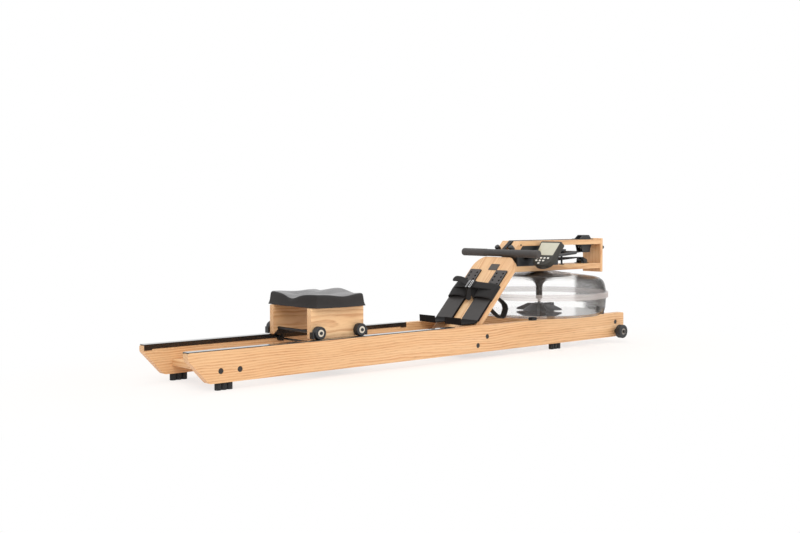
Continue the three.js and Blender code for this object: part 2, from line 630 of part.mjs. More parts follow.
// Bearing housing: a flared collar under the lid with a long sleeve round the shaft
function bearingHousing() {
  const bore = shaft.radius + fit.bore;
  const under = tank.top - tank.wall - fit.gap;
  const hub = tank.hubHole - fit.gap;
  const flare = (share) => [
    bearing.sleeve + (bearing.disc - bearing.sleeve) * share ** bearing.widenShare,
    bearing.sleeveTop + (bearing.discZ - bearing.sleeveTop) * (1 - (1 - share) ** bearing.riseShare),
  ];
  return tankAt(turned([
    [bore, bearing.bottom], [bearing.sleeve, bearing.bottom],
    ...Array.from({ length: steps.curve + 1 }, (_, i) => flare(i / steps.curve)),
    [bearing.disc, bearing.discZ + bearing.discThickness],
    [bearing.shoulder, bearing.discZ + bearing.discThickness * 2], [bearing.collar, under], [hub, under],
    [hub, tank.top - fit.gap], [bore, tank.top - fit.gap],
  ], steps.fine));
}
add('bearing_housing', bearingHousing(), greyPlastic());

// Paddle: lens-shaped vanes on a hub, on a shaft that ends inside the bearing
function paddleBody() {
  const floor = tank.bottom + tank.wall;
  const vane = outline([
    [0, paddle.bottomZ, 0], [paddle.bottomHalf, paddle.bottomZ, 0],
    [paddle.tip, paddle.tipZ - paddle.tipHeight / 2, 0], [paddle.tip, paddle.tipZ + paddle.tipHeight / 2, 0],
    [paddle.topHalf, paddle.topZ, 0], [0, paddle.topZ, 0],
  ]);
  const flat = acrossY(vane, -paddle.thickness / 2, paddle.thickness / 2);
  const vanes = Array.from({ length: paddle.vanes }, (_, i) => flat.rotate([0, 0, (360 * i) / paddle.vanes]));
  return tankAt(union(
    rod([0, 0, floor + shaft.foot], [0, 0, shaft.meeting - shaft.meetingGap], shaft.radius, steps.round),
    rod([0, 0, paddle.bottomZ - paddle.hubFoot], [0, 0, paddle.topZ + fit.overrun], paddle.hub, steps.round),
    ...vanes,
  ));
}
add('paddle', paddleBody(), greyPlastic());

// Deck: the bottom plank meets the back of the footboard, the top plank is forked round the rear pulley
const recoilPulleyZ = deckFloor + recoilPulley.radius + recoilPulley.flange + fit.seat * 2;
const frontPulleyZ = beltTop - belt.thickness / 2 - fit.gap - frontPulley.radius;
const rearPulleyZ = beltTop - belt.thickness / 2 - fit.gap - rearPulley.radius;
function bottomPlank() {
  const d = -board.thickness - fit.seat;
  const end = deckFront - deck.joint;
  const profile = outline([[slopeX(deck.bottomZ, d), deck.bottomZ, 0], [end, deck.bottomZ, 0],
    [end, deckFloor, 0], [slopeX(deckFloor, d), deckFloor, 0]]);
  const slotX = recoilPulleyX + recoilSlot.start;
  return cut(
    acrossY(profile, -deck.halfWidth, deck.halfWidth),
    rod([tankX, 0, deck.bottomZ - fit.overrun], [tankX, 0, deckFloor + fit.overrun], deck.shaftHole,
      steps.round),
    box([slotX, slotX + recoilSlot.length], [-recoilSlot.half, recoilSlot.half],
      [deck.bottomZ - fit.overrun, deckFloor + fit.overrun]),
  );
}
add('deck_bottom_plank', bottomPlank(), wood());

function topPlank() {
  const profile = outline([
    [slopeX(deckPlankTop, nose.face), deckPlankTop, nose.corner],
    [...onSlope(nose.lower, nose.face), nose.corner], [...onSlope(nose.lower, nose.back), nose.corner],
    [slopeX(deck.topZ, nose.back), deck.topZ, 0],
    [deckFront - deck.joint, deck.topZ, 0], [deckFront - deck.joint, deckPlankTop, 0],
  ]);
  const wide = deck.halfWidth + fit.overrun;
  const pegs = sides.map(([, s]) => {
    const length = peg.tip - (nose.face + nose.back) / 2;
    const shoulder = peg.radius - peg.crown;
    const [x, z] = onSlope(peg.along, peg.tip - length);
    return turned([[0, 0], [peg.radius, 0],
      ...arc(shoulder, length - peg.crown, peg.crown, 0, quarter, peg.crownSteps), [0, length]], steps.round)
      .rotate([0, -THREE.MathUtils.radToDeg(board.angle), 0]).translate([x, s * peg.spread, z]);
  });
  return cut(
    union(acrossY(profile, -deck.halfWidth, deck.halfWidth), ...pegs),
    box([handle.x, nose.slotEnd], [-nose.slot, nose.slot], [deckFloor, deckPlankTop + fit.overrun]),
    box([frontPulleyX - upperBracket.slotHalf, frontPulleyX + upperBracket.slotHalf],
      [-upperSlotHalf, upperSlotHalf], [deck.topZ - fit.overrun, deckPlankTop + fit.overrun]),
    rod([rearPulley.x, -wide, rearPulleyZ], [rearPulley.x, wide, rearPulleyZ], rearPulley.axle + fit.bore,
      steps.small),
  );
}
add('deck_top_plank', topPlank(), wood());

const frontBoard = acrossY(rectangle(deckFront, deckFront + deck.frontThickness, deck.frontBottom,
  deck.frontTop, deck.corner), -deck.halfWidth, deck.halfWidth);
const knobStart = deckFront + deck.frontThickness;
const knobRoot = deckFront + deck.frontThickness / 2;
const onKnob = (x) => [x, knob.y, knob.z];
const knobHole = rod(onKnob(knobRoot), onKnob(knobStart + fit.overrun), knob.stem + fit.gap, steps.small);
add('front_board', cut(frontBoard, knobHole), wood());
const knobProfile = knob.profileShares.map(([r, h]) => [knob.radius * r, knob.head * h]);
add('front_knob', union(
  rod(onKnob(knobRoot + fit.gap), onKnob(knobStart + knob.length), knob.stem, steps.small),
  turned([[0, 0], ...knobProfile, [0, knob.head]], steps.small, 'y')
    .rotate([0, 0, -90]).translate(onKnob(knobStart + knob.length - knob.head)),
), rubber());

// Pulleys: flanged wheels on pins across the deck
function pulley({ radius, flange, width, axle }, x, z) {
  const half = width / 2;
  const rim = radius + flange;
  const bore = axle + fit.bore;
  const flangeThickness = (width - belt.width) / 2 - fit.gap;
  return turned([
    [bore, -half], [rim, -half], [rim, -half + flangeThickness / 2], [radius, -half + flangeThickness],
    [radius, half - flangeThickness], [rim, half - flangeThickness / 2], [rim, half], [bore, half],
  ], steps.fine, 'y').translate([x, 0, z]);
}
add('rear_pulley', pulley(rearPulley, rearPulley.x, rearPulleyZ), blackPlastic());
add('front_pulley', pulley(frontPulley, frontPulleyX, frontPulleyZ), blackPlastic());
add('recoil_pulley', pulley(recoilPulley, recoilPulleyX, recoilPulleyZ), blackPlastic());
add('rear_pulley_axle', rod([rearPulley.x, -deck.halfWidth, rearPulleyZ],
  [rearPulley.x, deck.halfWidth, rearPulleyZ], rearPulley.axle, steps.small), steel());

// Front pulley bracket: two cheeks through the top plank under a cover, with the pin between them
function frontPulleyBracket() {
  const u = upperBracket;
  const x = frontPulleyX;
  const above = deckPlankTop + fit.gap;
  const below = deck.topZ - fit.gap;
  const coverTop = deckPlankTop + u.cover;
  const upper = outline([[x - u.baseHalf, above, 0], [x + u.baseHalf - u.flangeReach, above, 0],
    [x + u.topHalf, coverTop, u.corner], [x - u.topHalf, coverTop, u.corner]]);
  const middle = rectangle(x - u.slotHalf + fit.gap, x + u.slotHalf - fit.gap, below - u.flangeThickness / 2,
    above + u.flangeThickness / 2);
  const lower = outline([[x - u.baseHalf + u.flangeReach, below, 0],
    [x - u.underHalf, below - u.under, u.underCorner], [x + u.underHalf, below - u.under, u.underCorner],
    [x + u.baseHalf - u.flangeReach, below, 0]]);
  const cheeks = sides.flatMap(([, s]) => {
    const [y0, y1] = sorted(s * upperCheekInner, s * upperCheekOuter);
    const flangeSpan = sorted(s * upperCheekInner, s * (upperCheekOuter + u.flangeReach));
    return [
      acrossY(upper, y0, y1), acrossY(middle, y0, y1), acrossY(lower, y0, y1),
      box([x - u.baseHalf, x + u.baseHalf - u.flangeReach], flangeSpan, [above, above + u.flangeThickness]),
      box([x - u.slotHalf, x + u.slotHalf], flangeSpan, [below - u.flangeThickness, below]),
    ];
  });
  const cap = box([x - u.topHalf, x + u.topHalf], [-upperCheekOuter, upperCheekOuter],
    [coverTop - u.flangeThickness, coverTop]);
  const pin = rod([x, -upperCheekOuter, frontPulleyZ], [x, upperCheekOuter, frontPulleyZ], frontPulley.axle,
    steps.small);
  return union(...cheeks, cap, pin);
}
add('front_pulley_bracket', frontPulleyBracket(), blackPlastic());

// Recoil pulley bracket on the bottom plank, open at the rear where the belt comes in
function recoilPulleyBracket() {
  const l = lowerBracket;
  const x = recoilPulleyX;
  const inner = recoilPulley.width / 2 + l.slack;
  const outer = inner + l.cheek;
  const base = deckFloor + fit.gap;
  const frontTop = base + l.height * l.frontShare;
  const [topFront, topRear] = [x + l.front * l.topShares[0], x + l.rear * l.topShares[1]];
  const cheek = outline([[x - l.rear, base, 0], [x + l.front, base, 0],
    [x + l.front, frontTop, l.frontCorner], [topFront, base + l.height, l.topCorner],
    [topRear, base + l.height, l.topCorner]]);
  const cheeks = sides.flatMap(([, s]) => [
    acrossY(cheek, ...sorted(s * inner, s * outer)),
    box([x - l.rear, x + l.front], sorted(s * inner, s * (outer + l.foot)), [base, base + l.footThickness]),
    rod([x, s * inner, recoilPulleyZ], [x, s * (outer + l.capLength), recoilPulleyZ], l.cap, steps.small),
  ]);
  const wall = box([x + l.front - l.wall, x + l.front], [-outer, outer], [base, frontTop - l.wall]);
  const pin = rod([x, -outer, recoilPulleyZ], [x, outer, recoilPulleyZ], recoilPulley.axle, steps.small);
  return union(...cheeks, wall, pin);
}
add('recoil_pulley_bracket', recoilPulleyBracket(), blackPlastic());

// Drum: a spool on its own shaft, with one bay for the recoil belt and one for the drive belt
const bayGap = (belt.width / 2) + fit.gap * 3;
function drumBody() {
  const t = drum.flangeThickness;
  const bays = [drum.lowerBelt, drum.upperBelt];
  const foot = shaft.meeting - drumBottom;
  const points = [[0, foot], [shaft.radius, foot], [shaft.radius, 0]];
  points.push([drum.flange, 0]);
  bays.forEach((middle, i) => {
    points.push([drum.flange, middle - bayGap], [drum.core, middle - bayGap]);
    points.push([drum.core, middle + bayGap], [drum.flange, middle + bayGap]);
    if (i === bays.length - 1) points.push([drum.flange, middle + bayGap + t]);
  });
  points.push([drum.boss, drum.upperBelt + bayGap + t], [drum.boss, drum.height], [0, drum.height]);
  return turned(points, steps.fine).translate([tankX, 0, drumBottom]);
}
add('belt_drum', drumBody(), blackPlastic());

// Drum guard: a rounded shell round the drum, open at the front for the belts, with a slot in its near wall
function drumGuard() {
  const [z0, z1] = [deckFloor + fit.gap, deck.topZ - fit.gap];
  const half = deck.halfWidth - guard.inset;
  const start = guard.start + fit.seat;
  const end = tankX + guard.beyond;
  const outer = outline([[start, -half, guard.corner], [end, -half, 0], [end, half, 0],
    [start, half, guard.corner]]);
  const inset = guard.wall;
  const inner = outline([[start + inset, -half + inset, guard.corner - inset],
    [end + fit.overrun, -half + inset, 0], [end + fit.overrun, half - inset, 0],
    [start + inset, half - inset, guard.corner - inset]]);
  const back = nose.back - fit.gap;
  const noseTool = acrossY(outline([
    [slopeX(z0, back), z0, 0], [slopeX(deck.topZ, back), deck.topZ, 0], [handle.x, deck.topZ, 0],
    [handle.x, z0, 0],
  ]), -deck.halfWidth, deck.halfWidth);
  const [fromRear, length, height] = guard.window;
  const middle = (z0 + z1) / 2;
  const windowTool = box([start + fromRear, start + fromRear + length],
    [-half - fit.overrun, -half + inset + fit.overrun], [middle - height, middle]);
  return cut(alongZ(outer, z0, z1), alongZ(inner, z0 - fit.overrun, z1 + fit.overrun), noseTool, windowTool);
}
add('drum_guard', drumGuard(), blackPlastic());

// Belts. Each is a band whose width turns from level at a pulley to upright at the drum
const vector = (x, y, z) => new THREE.Vector3(x, y, z);
const level = vector(0, 1, 0);
function aroundPulley(x, z, radius, from, to, count) {
  return arc(x, z, radius, from, to, count).map(([px, pz]) => ({
    at: vector(px, 0, pz), across: level.clone(), up: vector((px - x) / radius, 0, (pz - z) / radius),
  }));
}
// The twisted run to the drum and the wrap round it, on the side given by its sign
function toDrum(start, up, z, side) {
  const radius = drum.core + belt.thickness / 2 + fit.gap * 3;
  const end = vector(tankX, side * radius, z);
  const run = [];
  const turns = steps.twist;
  for (let i = 1; i <= turns; i += 1) {
    const share = i / turns;
    const angle = quarter * share;
    const at = start.clone().lerp(end, share);
    const across = vector(0, Math.cos(angle), Math.sin(angle) * side * up);
    const facing = vector(0, -side * Math.sin(angle), up * Math.cos(angle));
    run.push({ at, across, up: facing });
  }
  const wrap = arc(tankX, 0, radius, side * quarter, side * (quarter + drum.wrap), steps.twist).slice(1);
  const last = run[run.length - 1];
  wrap.forEach(([px, py]) => {
    const outwards = vector((px - tankX) / radius, py / radius, 0);
    run.push({ at: vector(px, py, z), across: last.across.clone(), up: outwards.multiplyScalar(-1) });
  });
  return run;
}

const rearRadius = rearPulley.radius + fit.gap + belt.thickness / 2;
const handleCentre = vector(handle.x, 0, handle.z);
const toHandle = vector(handle.x - rearPulley.x, 0, handle.z - rearPulleyZ);
const handleAngle = Math.atan2(toHandle.z, toHandle.x) + 4 * quarter;
const touchAngle = handleAngle - Math.acos(rearRadius / toHandle.length());
const touch = vector(rearPulley.x + rearRadius * Math.cos(touchAngle), 0,
  rearPulleyZ + rearRadius * Math.sin(touchAngle));

function driveBelt() {
  const radius = frontPulley.radius + fit.gap + belt.thickness / 2;
  const overRear = aroundPulley(rearPulley.x, rearPulleyZ, rearRadius, touchAngle, quarter, steps.wide);
  const overFront = aroundPulley(frontPulleyX, frontPulleyZ, radius, quarter, -quarter, steps.twist);
  const start = overFront[overFront.length - 1].at;
  const run = toDrum(start, -1, drumBottom + drum.upperBelt, -1);
  return band([...overRear, ...overFront, ...run], belt.width, belt.thickness);
}
add('drive_belt', driveBelt(), webbing());

// Recoil belt: over its pulley and down through the bottom plank to a clamp under it
function recoilBelt() {
  const radius = recoilPulley.radius + fit.gap + belt.thickness / 2;
  const x = recoilPulleyX;
  const over = aroundPulley(x, recoilPulleyZ, radius, 0, quarter, steps.curve);
  const run = toDrum(over[over.length - 1].at, 1, drumBottom + drum.lowerBelt, 1);
  const lowest = vector(x + radius, 0, deck.bottomZ - recoilSlot.drop);
  const down = { at: lowest, across: level.clone(), up: vector(1, 0, 0) };
  const strip = band([down, ...over, ...run], belt.width, belt.thickness);
  const clampTop = deck.bottomZ - fit.gap;
  const reach = recoilSlot.clampReach;
  const clampHalf = (belt.width + reach) / 2;
  const clamp = box([x + radius - reach, x + radius + reach], [-clampHalf, clampHalf],
    [clampTop - recoilSlot.clampHeight, clampTop]);
  return union(strip, clamp);
}
add('recoil_belt', recoilBelt(), webbing());

// Handle with a slot for its strap, and the strap up to the rear pulley
const strapWay = touch.clone().sub(handleCentre).normalize();
const strapUp = vector(-strapWay.z, 0, strapWay.x);
const alongStrap = (start, reach) =>
  ({ at: start.clone().addScaledVector(strapWay, reach), across: level, up: strapUp });
function handleGrip() {
  const { radius, halfLength, endRound } = handle;
  const grip = turned([
    [0, -halfLength], ...arc(radius - endRound, -halfLength + endRound, endRound, -quarter, 0, steps.wide),
    ...arc(radius - endRound, halfLength - endRound, endRound, 0, quarter, steps.wide), [0, halfLength],
  ], steps.fine, 'y').translate([handle.x, 0, handle.z]);
  const slot = band([
    alongStrap(handleCentre, radius - handle.slotDepth), alongStrap(handleCentre, radius + fit.overrun),
  ], belt.width + fit.gap * 2, belt.thickness + fit.gap * 2);
  return cut(grip, slot);
}
add('handle_grip', handleGrip(), rubber());
add('handle_strap', band([
  alongStrap(handleCentre, handle.radius - handle.slotDepth + fit.gap), alongStrap(touch, -fit.gap),
], belt.width, belt.thickness), webbing());

// Seat carriage: two side panels on four wheels, two axles and a keeper rod under the track lips
const axleX = [seat.rear + seatWheel.rearInset, seat.rear + seat.length - seatWheel.frontInset];
const axleZ = trackTop + fit.seat + seatWheel.radius;
const panelInner = seat.outer - seat.panel;
const nutStart = seatWheel.inner + seatWheel.width + fit.seat;
const seatAxleEnd = nutStart + seatWheel.nutLength;
function sidePanel(sign) {
  const profile = rectangle(seat.rear, seat.rear + seat.length, seat.bottom, seat.top, seat.corner);
  const hangerHalf = keeper.hangerWidth / 2;
  const hanger = box([keeper.x - hangerHalf, keeper.x + hangerHalf],
    sorted(sign * panelInner, sign * (panelInner + hangerHalf)),
    [keeper.z - keeper.rod * 2, seat.bottom + fit.overrun]);
  const through = (x, z, radius) => rod([x, sign * (panelInner - fit.overrun), z],
    [x, sign * (seat.outer + fit.overrun), z], radius, steps.small);
  return cut(
    union(acrossY(profile, ...sorted(sign * panelInner, sign * seat.outer)), hanger),
    ...axleX.map((x) => through(x, axleZ, seatWheel.axle + fit.bore)),
    through(keeper.x, keeper.z, keeper.rod + fit.bore),
  );
}
sides.forEach(([side, sign]) => add(`seat_panel_${side}`, sidePanel(sign), wood()));

['rear', 'front'].forEach((end, i) => {
  const at = (y) => [axleX[i], y, axleZ];
  add(`seat_axle_${end}`, union(
    rod(at(-seatAxleEnd), at(seatAxleEnd), seatWheel.axle, steps.small),
    ...sides.map(([, s]) => rod(at(s * nutStart), at(s * seatAxleEnd), seatWheel.nut, steps.hex)),
  ), steel());
  sides.forEach(([side, sign]) => {
    const half = seatWheel.width / 2;
    const r = seatWheel.radius;
    const bore = seatWheel.axle + fit.bore;
    const shoulder = seatWheel.shoulder;
    const hubFace = half - seatWheel.hubDepth;
    const wheel = turned([
      [bore, -hubFace], [seatWheel.hub, -hubFace], [seatWheel.hub, -half],
      ...arc(r - shoulder, -half + shoulder, shoulder, -quarter, 0, steps.edge),
      ...arc(r - shoulder, half - shoulder, shoulder, 0, quarter, steps.edge),
      [seatWheel.hub, half], [seatWheel.hub, hubFace], [bore, hubFace],
    ], steps.fine, 'y').translate([axleX[i], sign * (seatWheel.inner + half), axleZ]);
    add(`seat_wheel_${end}_${side}`, wheel, rubber());
  });
});

const keeperHalf = railInner - fit.gap - track.lip - fit.seat * 2;
const rollerStart = keeperHalf - keeper.rollerWidth;
const keeperAt = (y) => [keeper.x, y, keeper.z];
add('seat_keeper', union(
  rod(keeperAt(-keeperHalf), keeperAt(keeperHalf), keeper.rod, steps.small),
  ...sides.map(([, s]) =>
    rod(keeperAt(s * rollerStart), keeperAt(s * keeperHalf), keeper.roller, steps.round)),
), blackPlastic());

// Seat cushion: a moulded pad with hollows for the sit bones, a tail notch and dipped sides
function seatCushion() {
  const halfLength = seat.length / 2 - cushion.inset;
  const centre = seat.rear + seat.length / 2;
  const base = seat.top + fit.gap;
  const bump = (value, width) => Math.exp(-((value / width) ** 2));
  const ease = (value) => THREE.MathUtils.smoothstep(value, 0, 1);
  const topAt = (x, y) => {
    const a = x / halfLength;
    const b = y / cushion.halfWidth;
    const side = Math.abs(b);
    const front = ease((a - frontRise.startShare) / frontRise.lengthShare);
    const tail = ease((a - tailNotch.startShare) / tailNotch.lengthShare);
    return cushion.height
      + pommel.height * bump(b, pommel.widthShare) * front
      + thighs.height * bump(side - thighs.placeShare, thighs.widthShare) * front
      + sitBones.height * bump(side - sitBones.placeShare, sitBones.widthShare)
        * bump(a - sitBones.alongShare, sitBones.lengthShare)
      + tailNotch.height * bump(b, tailNotch.widthShare) * tail
      + flanks.height * ease((side - flanks.startShare) / flanks.riseShare)
        * bump(a - flanks.alongShare, flanks.lengthShare);
  };
  // A rounded rectangle in polar steps, as a share of its full reach
  const edge = (i) => {
    const angle = (4 * quarter * i) / cushion.around;
    const round = (value) => Math.sign(value) * Math.abs(value) ** cushion.cornerShare;
    return [round(Math.cos(angle)) * halfLength, round(Math.sin(angle)) * cushion.halfWidth];
  };
  const rings = [];
  const ring = (inset, height) => Array.from({ length: cushion.around }, (_, i) => {
    const [x, y] = edge(i);
    const sx = x * (1 - inset / halfLength);
    const sy = y * (1 - inset / cushion.halfWidth);
    return [sx, sy, height(sx, sy)];
  });
  rings.push(ring(0, () => 0));
  rings.push(ring(cushion.flare * cushion.flankShares[0], () => cushion.height * cushion.flankShares[1]));
  cushion.shoulderShares.forEach((share) => {
    const angle = quarter * share;
    rings.push(ring(cushion.flare + cushion.shoulder * (1 - Math.cos(angle)),
      (x, y) => topAt(x, y) - cushion.shoulder * (1 - Math.sin(angle))));
  });
  for (let i = 1; i < cushion.rings; i += 1) {
    const start = cushion.flare + cushion.shoulder;
    rings.push(ring(start + (halfLength - start) * (i / cushion.rings), topAt));
  }
  const positions = rings.flat(2);
  const index = [];
  const n = cushion.around;
  for (let r = 0; r + 1 < rings.length; r += 1) {
    for (let i = 0; i < n; i += 1) {
      const [a, b] = [r * n + i, r * n + ((i + 1) % n)];
      index.push(a, b, a + n, b, b + n, a + n);
    }
  }
  const [low, high] = [positions.length / 3, positions.length / 3 + 1];
  positions.push(0, 0, 0, 0, 0, topAt(0, 0));
  const last = (rings.length - 1) * n;
  for (let i = 0; i < n; i += 1) {
    index.push(low, (i + 1) % n, i);
    index.push(high, last + i, last + ((i + 1) % n));
  }
  const geometry = new THREE.BufferGeometry();
  geometry.setAttribute('position', new THREE.Float32BufferAttribute(positions, 3));
  geometry.setIndex(index);
  geometry.translate(centre, 0, base);
  return solid(geometry);
}
add('seat_cushion', seatCushion(), rubber());

// Monitor: its own group, with X to the reader's right, Y up the screen and Z out of it
const readout = new THREE.Group();
readout.position.set(monitor.x, monitor.y, monitor.z);
const upScreen = vector(Math.sin(monitor.tilt), 0, Math.cos(monitor.tilt));
const outOfScreen = vector(-Math.cos(monitor.tilt), 0, Math.sin(monitor.tilt));
const screenAxes = new THREE.Matrix4().makeBasis(vector(0, -1, 0), upScreen, outOfScreen);
readout.quaternion.setFromRotationMatrix(screenAxes);
machine.add(readout);

const keyPlaces = keyRowShares.flatMap((row, r) => row.map((share) =>
  [share * key.pitch, -key.firstRow - r * key.rowPitch]));
function monitorCase() {
  const [high, low] = [monitor.topHalf - monitor.bevel, monitor.lowHalf - monitor.bevel];
  const top = monitor.above - monitor.bevel;
  const corner = monitor.topCorner;
  const shape = new THREE.Shape();
  shape.moveTo(-low, -monitor.straight);
  shape.absellipse(0, -monitor.straight, low, monitor.chin - monitor.bevel, -2 * quarter, 0, false);
  shape.lineTo(high, top - corner);
  shape.absarc(high - corner, top - corner, corner, 0, quarter, false);
  shape.absarc(-high + corner, top - corner, corner, quarter, 2 * quarter, false);
  shape.closePath();
  const body = new THREE.ExtrudeGeometry(shape, {
    depth: monitor.depth - 2 * monitor.bevel, bevelThickness: monitor.bevel, bevelSize: monitor.bevel,
    bevelSegments: 1, curveSegments: steps.curve,
  });
  body.translate(0, 0, -monitor.depth + monitor.bevel);
  const window = outline([
    [-screen.lowHalf, -screen.below, screen.corner], [screen.lowHalf, -screen.below, screen.corner],
    [screen.topHalf, screen.above, screen.corner], [-screen.topHalf, screen.above, screen.corner],
  ]);
  const wells = keyPlaces.map(([x, y]) => {
    const [halfWidth, halfHeight] = [key.width / 2 + fit.gap, key.height / 2 + fit.gap];
    const corner = key.corner + fit.gap;
    const mouth = rectangle(x - halfWidth, x + halfWidth, y - halfHeight, y + halfHeight, corner);
    return alongZ(mouth, -key.well, fit.overrun, steps.chamfer);
  });
  const recess = alongZ(window, -screen.depth, fit.overrun, steps.chamfer);
  return union(cut(solid(body), recess, ...wells), ...monitorEars());
}
// Two ears on the back, either side of the arm's knuckle
const hingeLocal = { y: -post.hingeDrop, z: -monitor.depth - post.knuckle - fit.seat * 2 };
function monitorEars() {
  const reach = post.knuckleWidth / 2 + fit.seat;
  return [-1, 1].map((way) => {
    const [x0, x1] = sorted(way * reach, way * (reach + post.ear));
    const ear = union(
      rod([x0, hingeLocal.y, hingeLocal.z], [x1, hingeLocal.y, hingeLocal.z], post.knuckle, steps.round),
      box([x0, x1], [hingeLocal.y - post.knuckle, hingeLocal.y + post.knuckle],
        [hingeLocal.z, -monitor.depth + fit.overrun]),
    );
    const pinHole = rod([x0 - fit.overrun, hingeLocal.y, hingeLocal.z],
      [x1 + fit.overrun, hingeLocal.y, hingeLocal.z], post.pin + fit.bore, steps.small);
    return cut(ear, pinHole);
  });
}
add('monitor_case', monitorCase(), blackPlastic(), readout);

keyPlaces.forEach(([x, y], i) => {
  const [halfWidth, halfHeight] = [key.width / 2, key.height / 2];
  const cap = rectangle(x - halfWidth, x + halfWidth, y - halfHeight, y + halfHeight, key.corner);
  const body = alongZ(cap, -key.well + key.travel + fit.gap, key.proud, steps.chamfer);
  add(`key_${i + 1}`, body, new THREE.MeshStandardMaterial({ color: 0xf0efe9, roughness: 0.5 }), readout);
});

// Monitor bracket: a post on the bottom plank, a clamp, and an arm ending in the hinge knuckle
function monitorBracket() {
  readout.updateMatrix();
  const hinge = vector(0, hingeLocal.y, hingeLocal.z).applyMatrix4(readout.matrix);
  const knuckleHalf = post.knuckleWidth / 2;
  const pinHalf = knuckleHalf + fit.seat + post.ear + fit.gap;
  const base = deckFloor + fit.gap;
  const clampHalf = post.clampWidth / 2;
  const clamp = box([postX - clampHalf, postX - clampHalf + post.clampLength],
    [post.y - clampHalf, post.y + clampHalf], [post.clampZ, post.clampZ + post.clampHeight]);
  return union(
    rod([postX, post.y, base], [postX, post.y, base + post.footHeight], post.footRadius, steps.round),
    rod([postX, post.y, base], [postX, post.y, post.top], post.radius, steps.small),
    clamp,
    rod([postX, post.y, post.armZ], [postX, hinge.y, post.armZ], post.arm, steps.small),
    rod([postX + post.arm, hinge.y, post.armZ], [hinge.x, hinge.y, hinge.z], post.arm, steps.small),
    rod([hinge.x, hinge.y - knuckleHalf, hinge.z], [hinge.x, hinge.y + knuckleHalf, hinge.z], post.knuckle,
      steps.round),
    rod([hinge.x, hinge.y - pinHalf, hinge.z], [hinge.x, hinge.y + pinHalf, hinge.z], post.pin, steps.small),
  );
}
add('monitor_bracket', monitorBracket(), blackPlastic());

export default machine;
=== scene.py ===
# %% [markdown]
# # A water rowing machine
# The model's solids come in from the frame. Each is either dressed, which means copied and given soft edges
# and a finish, or replaced by a finer piece in the same space. Every piece rides on one of the frame's
# bodies.

# %% The frame
import json
import math

import bmesh
import bpy
from mathutils import Matrix, Vector


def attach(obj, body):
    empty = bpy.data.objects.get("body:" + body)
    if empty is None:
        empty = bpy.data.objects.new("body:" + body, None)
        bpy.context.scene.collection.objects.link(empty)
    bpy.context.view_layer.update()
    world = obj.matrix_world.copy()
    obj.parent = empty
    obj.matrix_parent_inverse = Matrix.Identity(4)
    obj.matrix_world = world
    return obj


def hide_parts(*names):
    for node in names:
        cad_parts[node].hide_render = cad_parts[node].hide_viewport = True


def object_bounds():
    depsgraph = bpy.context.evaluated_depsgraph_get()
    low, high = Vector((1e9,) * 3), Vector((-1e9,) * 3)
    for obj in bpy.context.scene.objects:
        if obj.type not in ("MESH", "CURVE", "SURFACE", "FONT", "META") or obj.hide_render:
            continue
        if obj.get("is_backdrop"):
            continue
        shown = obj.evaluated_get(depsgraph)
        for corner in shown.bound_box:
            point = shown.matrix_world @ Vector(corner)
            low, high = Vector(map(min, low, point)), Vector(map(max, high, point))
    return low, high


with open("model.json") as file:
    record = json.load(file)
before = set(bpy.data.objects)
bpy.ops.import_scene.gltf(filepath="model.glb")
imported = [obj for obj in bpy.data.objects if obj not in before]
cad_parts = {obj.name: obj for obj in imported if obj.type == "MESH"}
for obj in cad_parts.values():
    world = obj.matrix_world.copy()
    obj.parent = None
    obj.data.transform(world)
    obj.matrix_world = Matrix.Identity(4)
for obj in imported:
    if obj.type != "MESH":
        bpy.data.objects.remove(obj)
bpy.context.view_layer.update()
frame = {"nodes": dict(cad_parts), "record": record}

# %% [markdown]
# ## Places
# The drawings of such a machine measure in millimetres from the rails' rear end. The footboard has its own
# frame: s runs up the board from the floor line and d stands out of its front face, towards the rower. Small
# functions turn both into the frame's metres.

# %% Drawing places
MM = 0.001
RAIL_LENGTH = 2100
BOARD_FLOOR = 1141
BOARD_ANGLE = math.radians(46.83)
UP_THE_BOARD = Vector((math.cos(BOARD_ANGLE), 0, math.sin(BOARD_ANGLE)))
BOARD_OUT = Vector((-math.sin(BOARD_ANGLE), 0, math.cos(BOARD_ANGLE)))
BOARD_TOP = 521
NEAR_AND_FAR = (("near", -1), ("far", 1))


def at(x, y, z):
    """A place in millimetres from the rails' rear end, the middle and the floor."""
    return Vector((x - RAIL_LENGTH / 2, y, z)) * MM


def on_board(s, y, d):
    """A place on the footboard: s up the slope, y across it, d out of its front face."""
    up, out = math.cos(BOARD_ANGLE), math.sin(BOARD_ANGLE)
    return at(BOARD_FLOOR + s * up - d * out, y, s * out + d * up)


def up_and_out(place):
    """The s and d of a place that is given in millimetres."""
    from_foot = place - Vector((BOARD_FLOOR, 0, 0))
    return from_foot.dot(UP_THE_BOARD), from_foot.dot(BOARD_OUT)


print("top of the board:", [round(v, 3) for v in on_board(BOARD_TOP, 0, 0)])

# %% [markdown]
# ## Camera, light and ground
# The photograph was taken from behind the machine's near side, a little above the seat, on a white ground.
# The rails' own square corners place the camera. The world is white for the camera, and in what glossy and
# clear things show, while what lights the object is dimmer, so a colour renders about as it is written.

# %% Camera
CAMERA_PLACE = Vector((-2.6753, -2.9486, 0.5290))
CAMERA_DIP, CAMERA_HEADING, CAMERA_LENS = 0.0466, -0.7215, 48.5


def put(name, data):
    """A new object in the scene, at the origin."""
    made = bpy.data.objects.new(name, data)
    bpy.context.collection.objects.link(made)
    return made


camera = put("camera", bpy.data.cameras.new("camera"))
camera.location = CAMERA_PLACE
camera.rotation_euler = (math.pi / 2 - CAMERA_DIP, 0, CAMERA_HEADING)
camera.data.lens = CAMERA_LENS
bpy.context.scene.camera = camera
bpy.context.scene.view_settings.view_transform = "Standard"
print("camera to seat:", round((camera.location - at(588, 0, 250)).length, 3), "m")

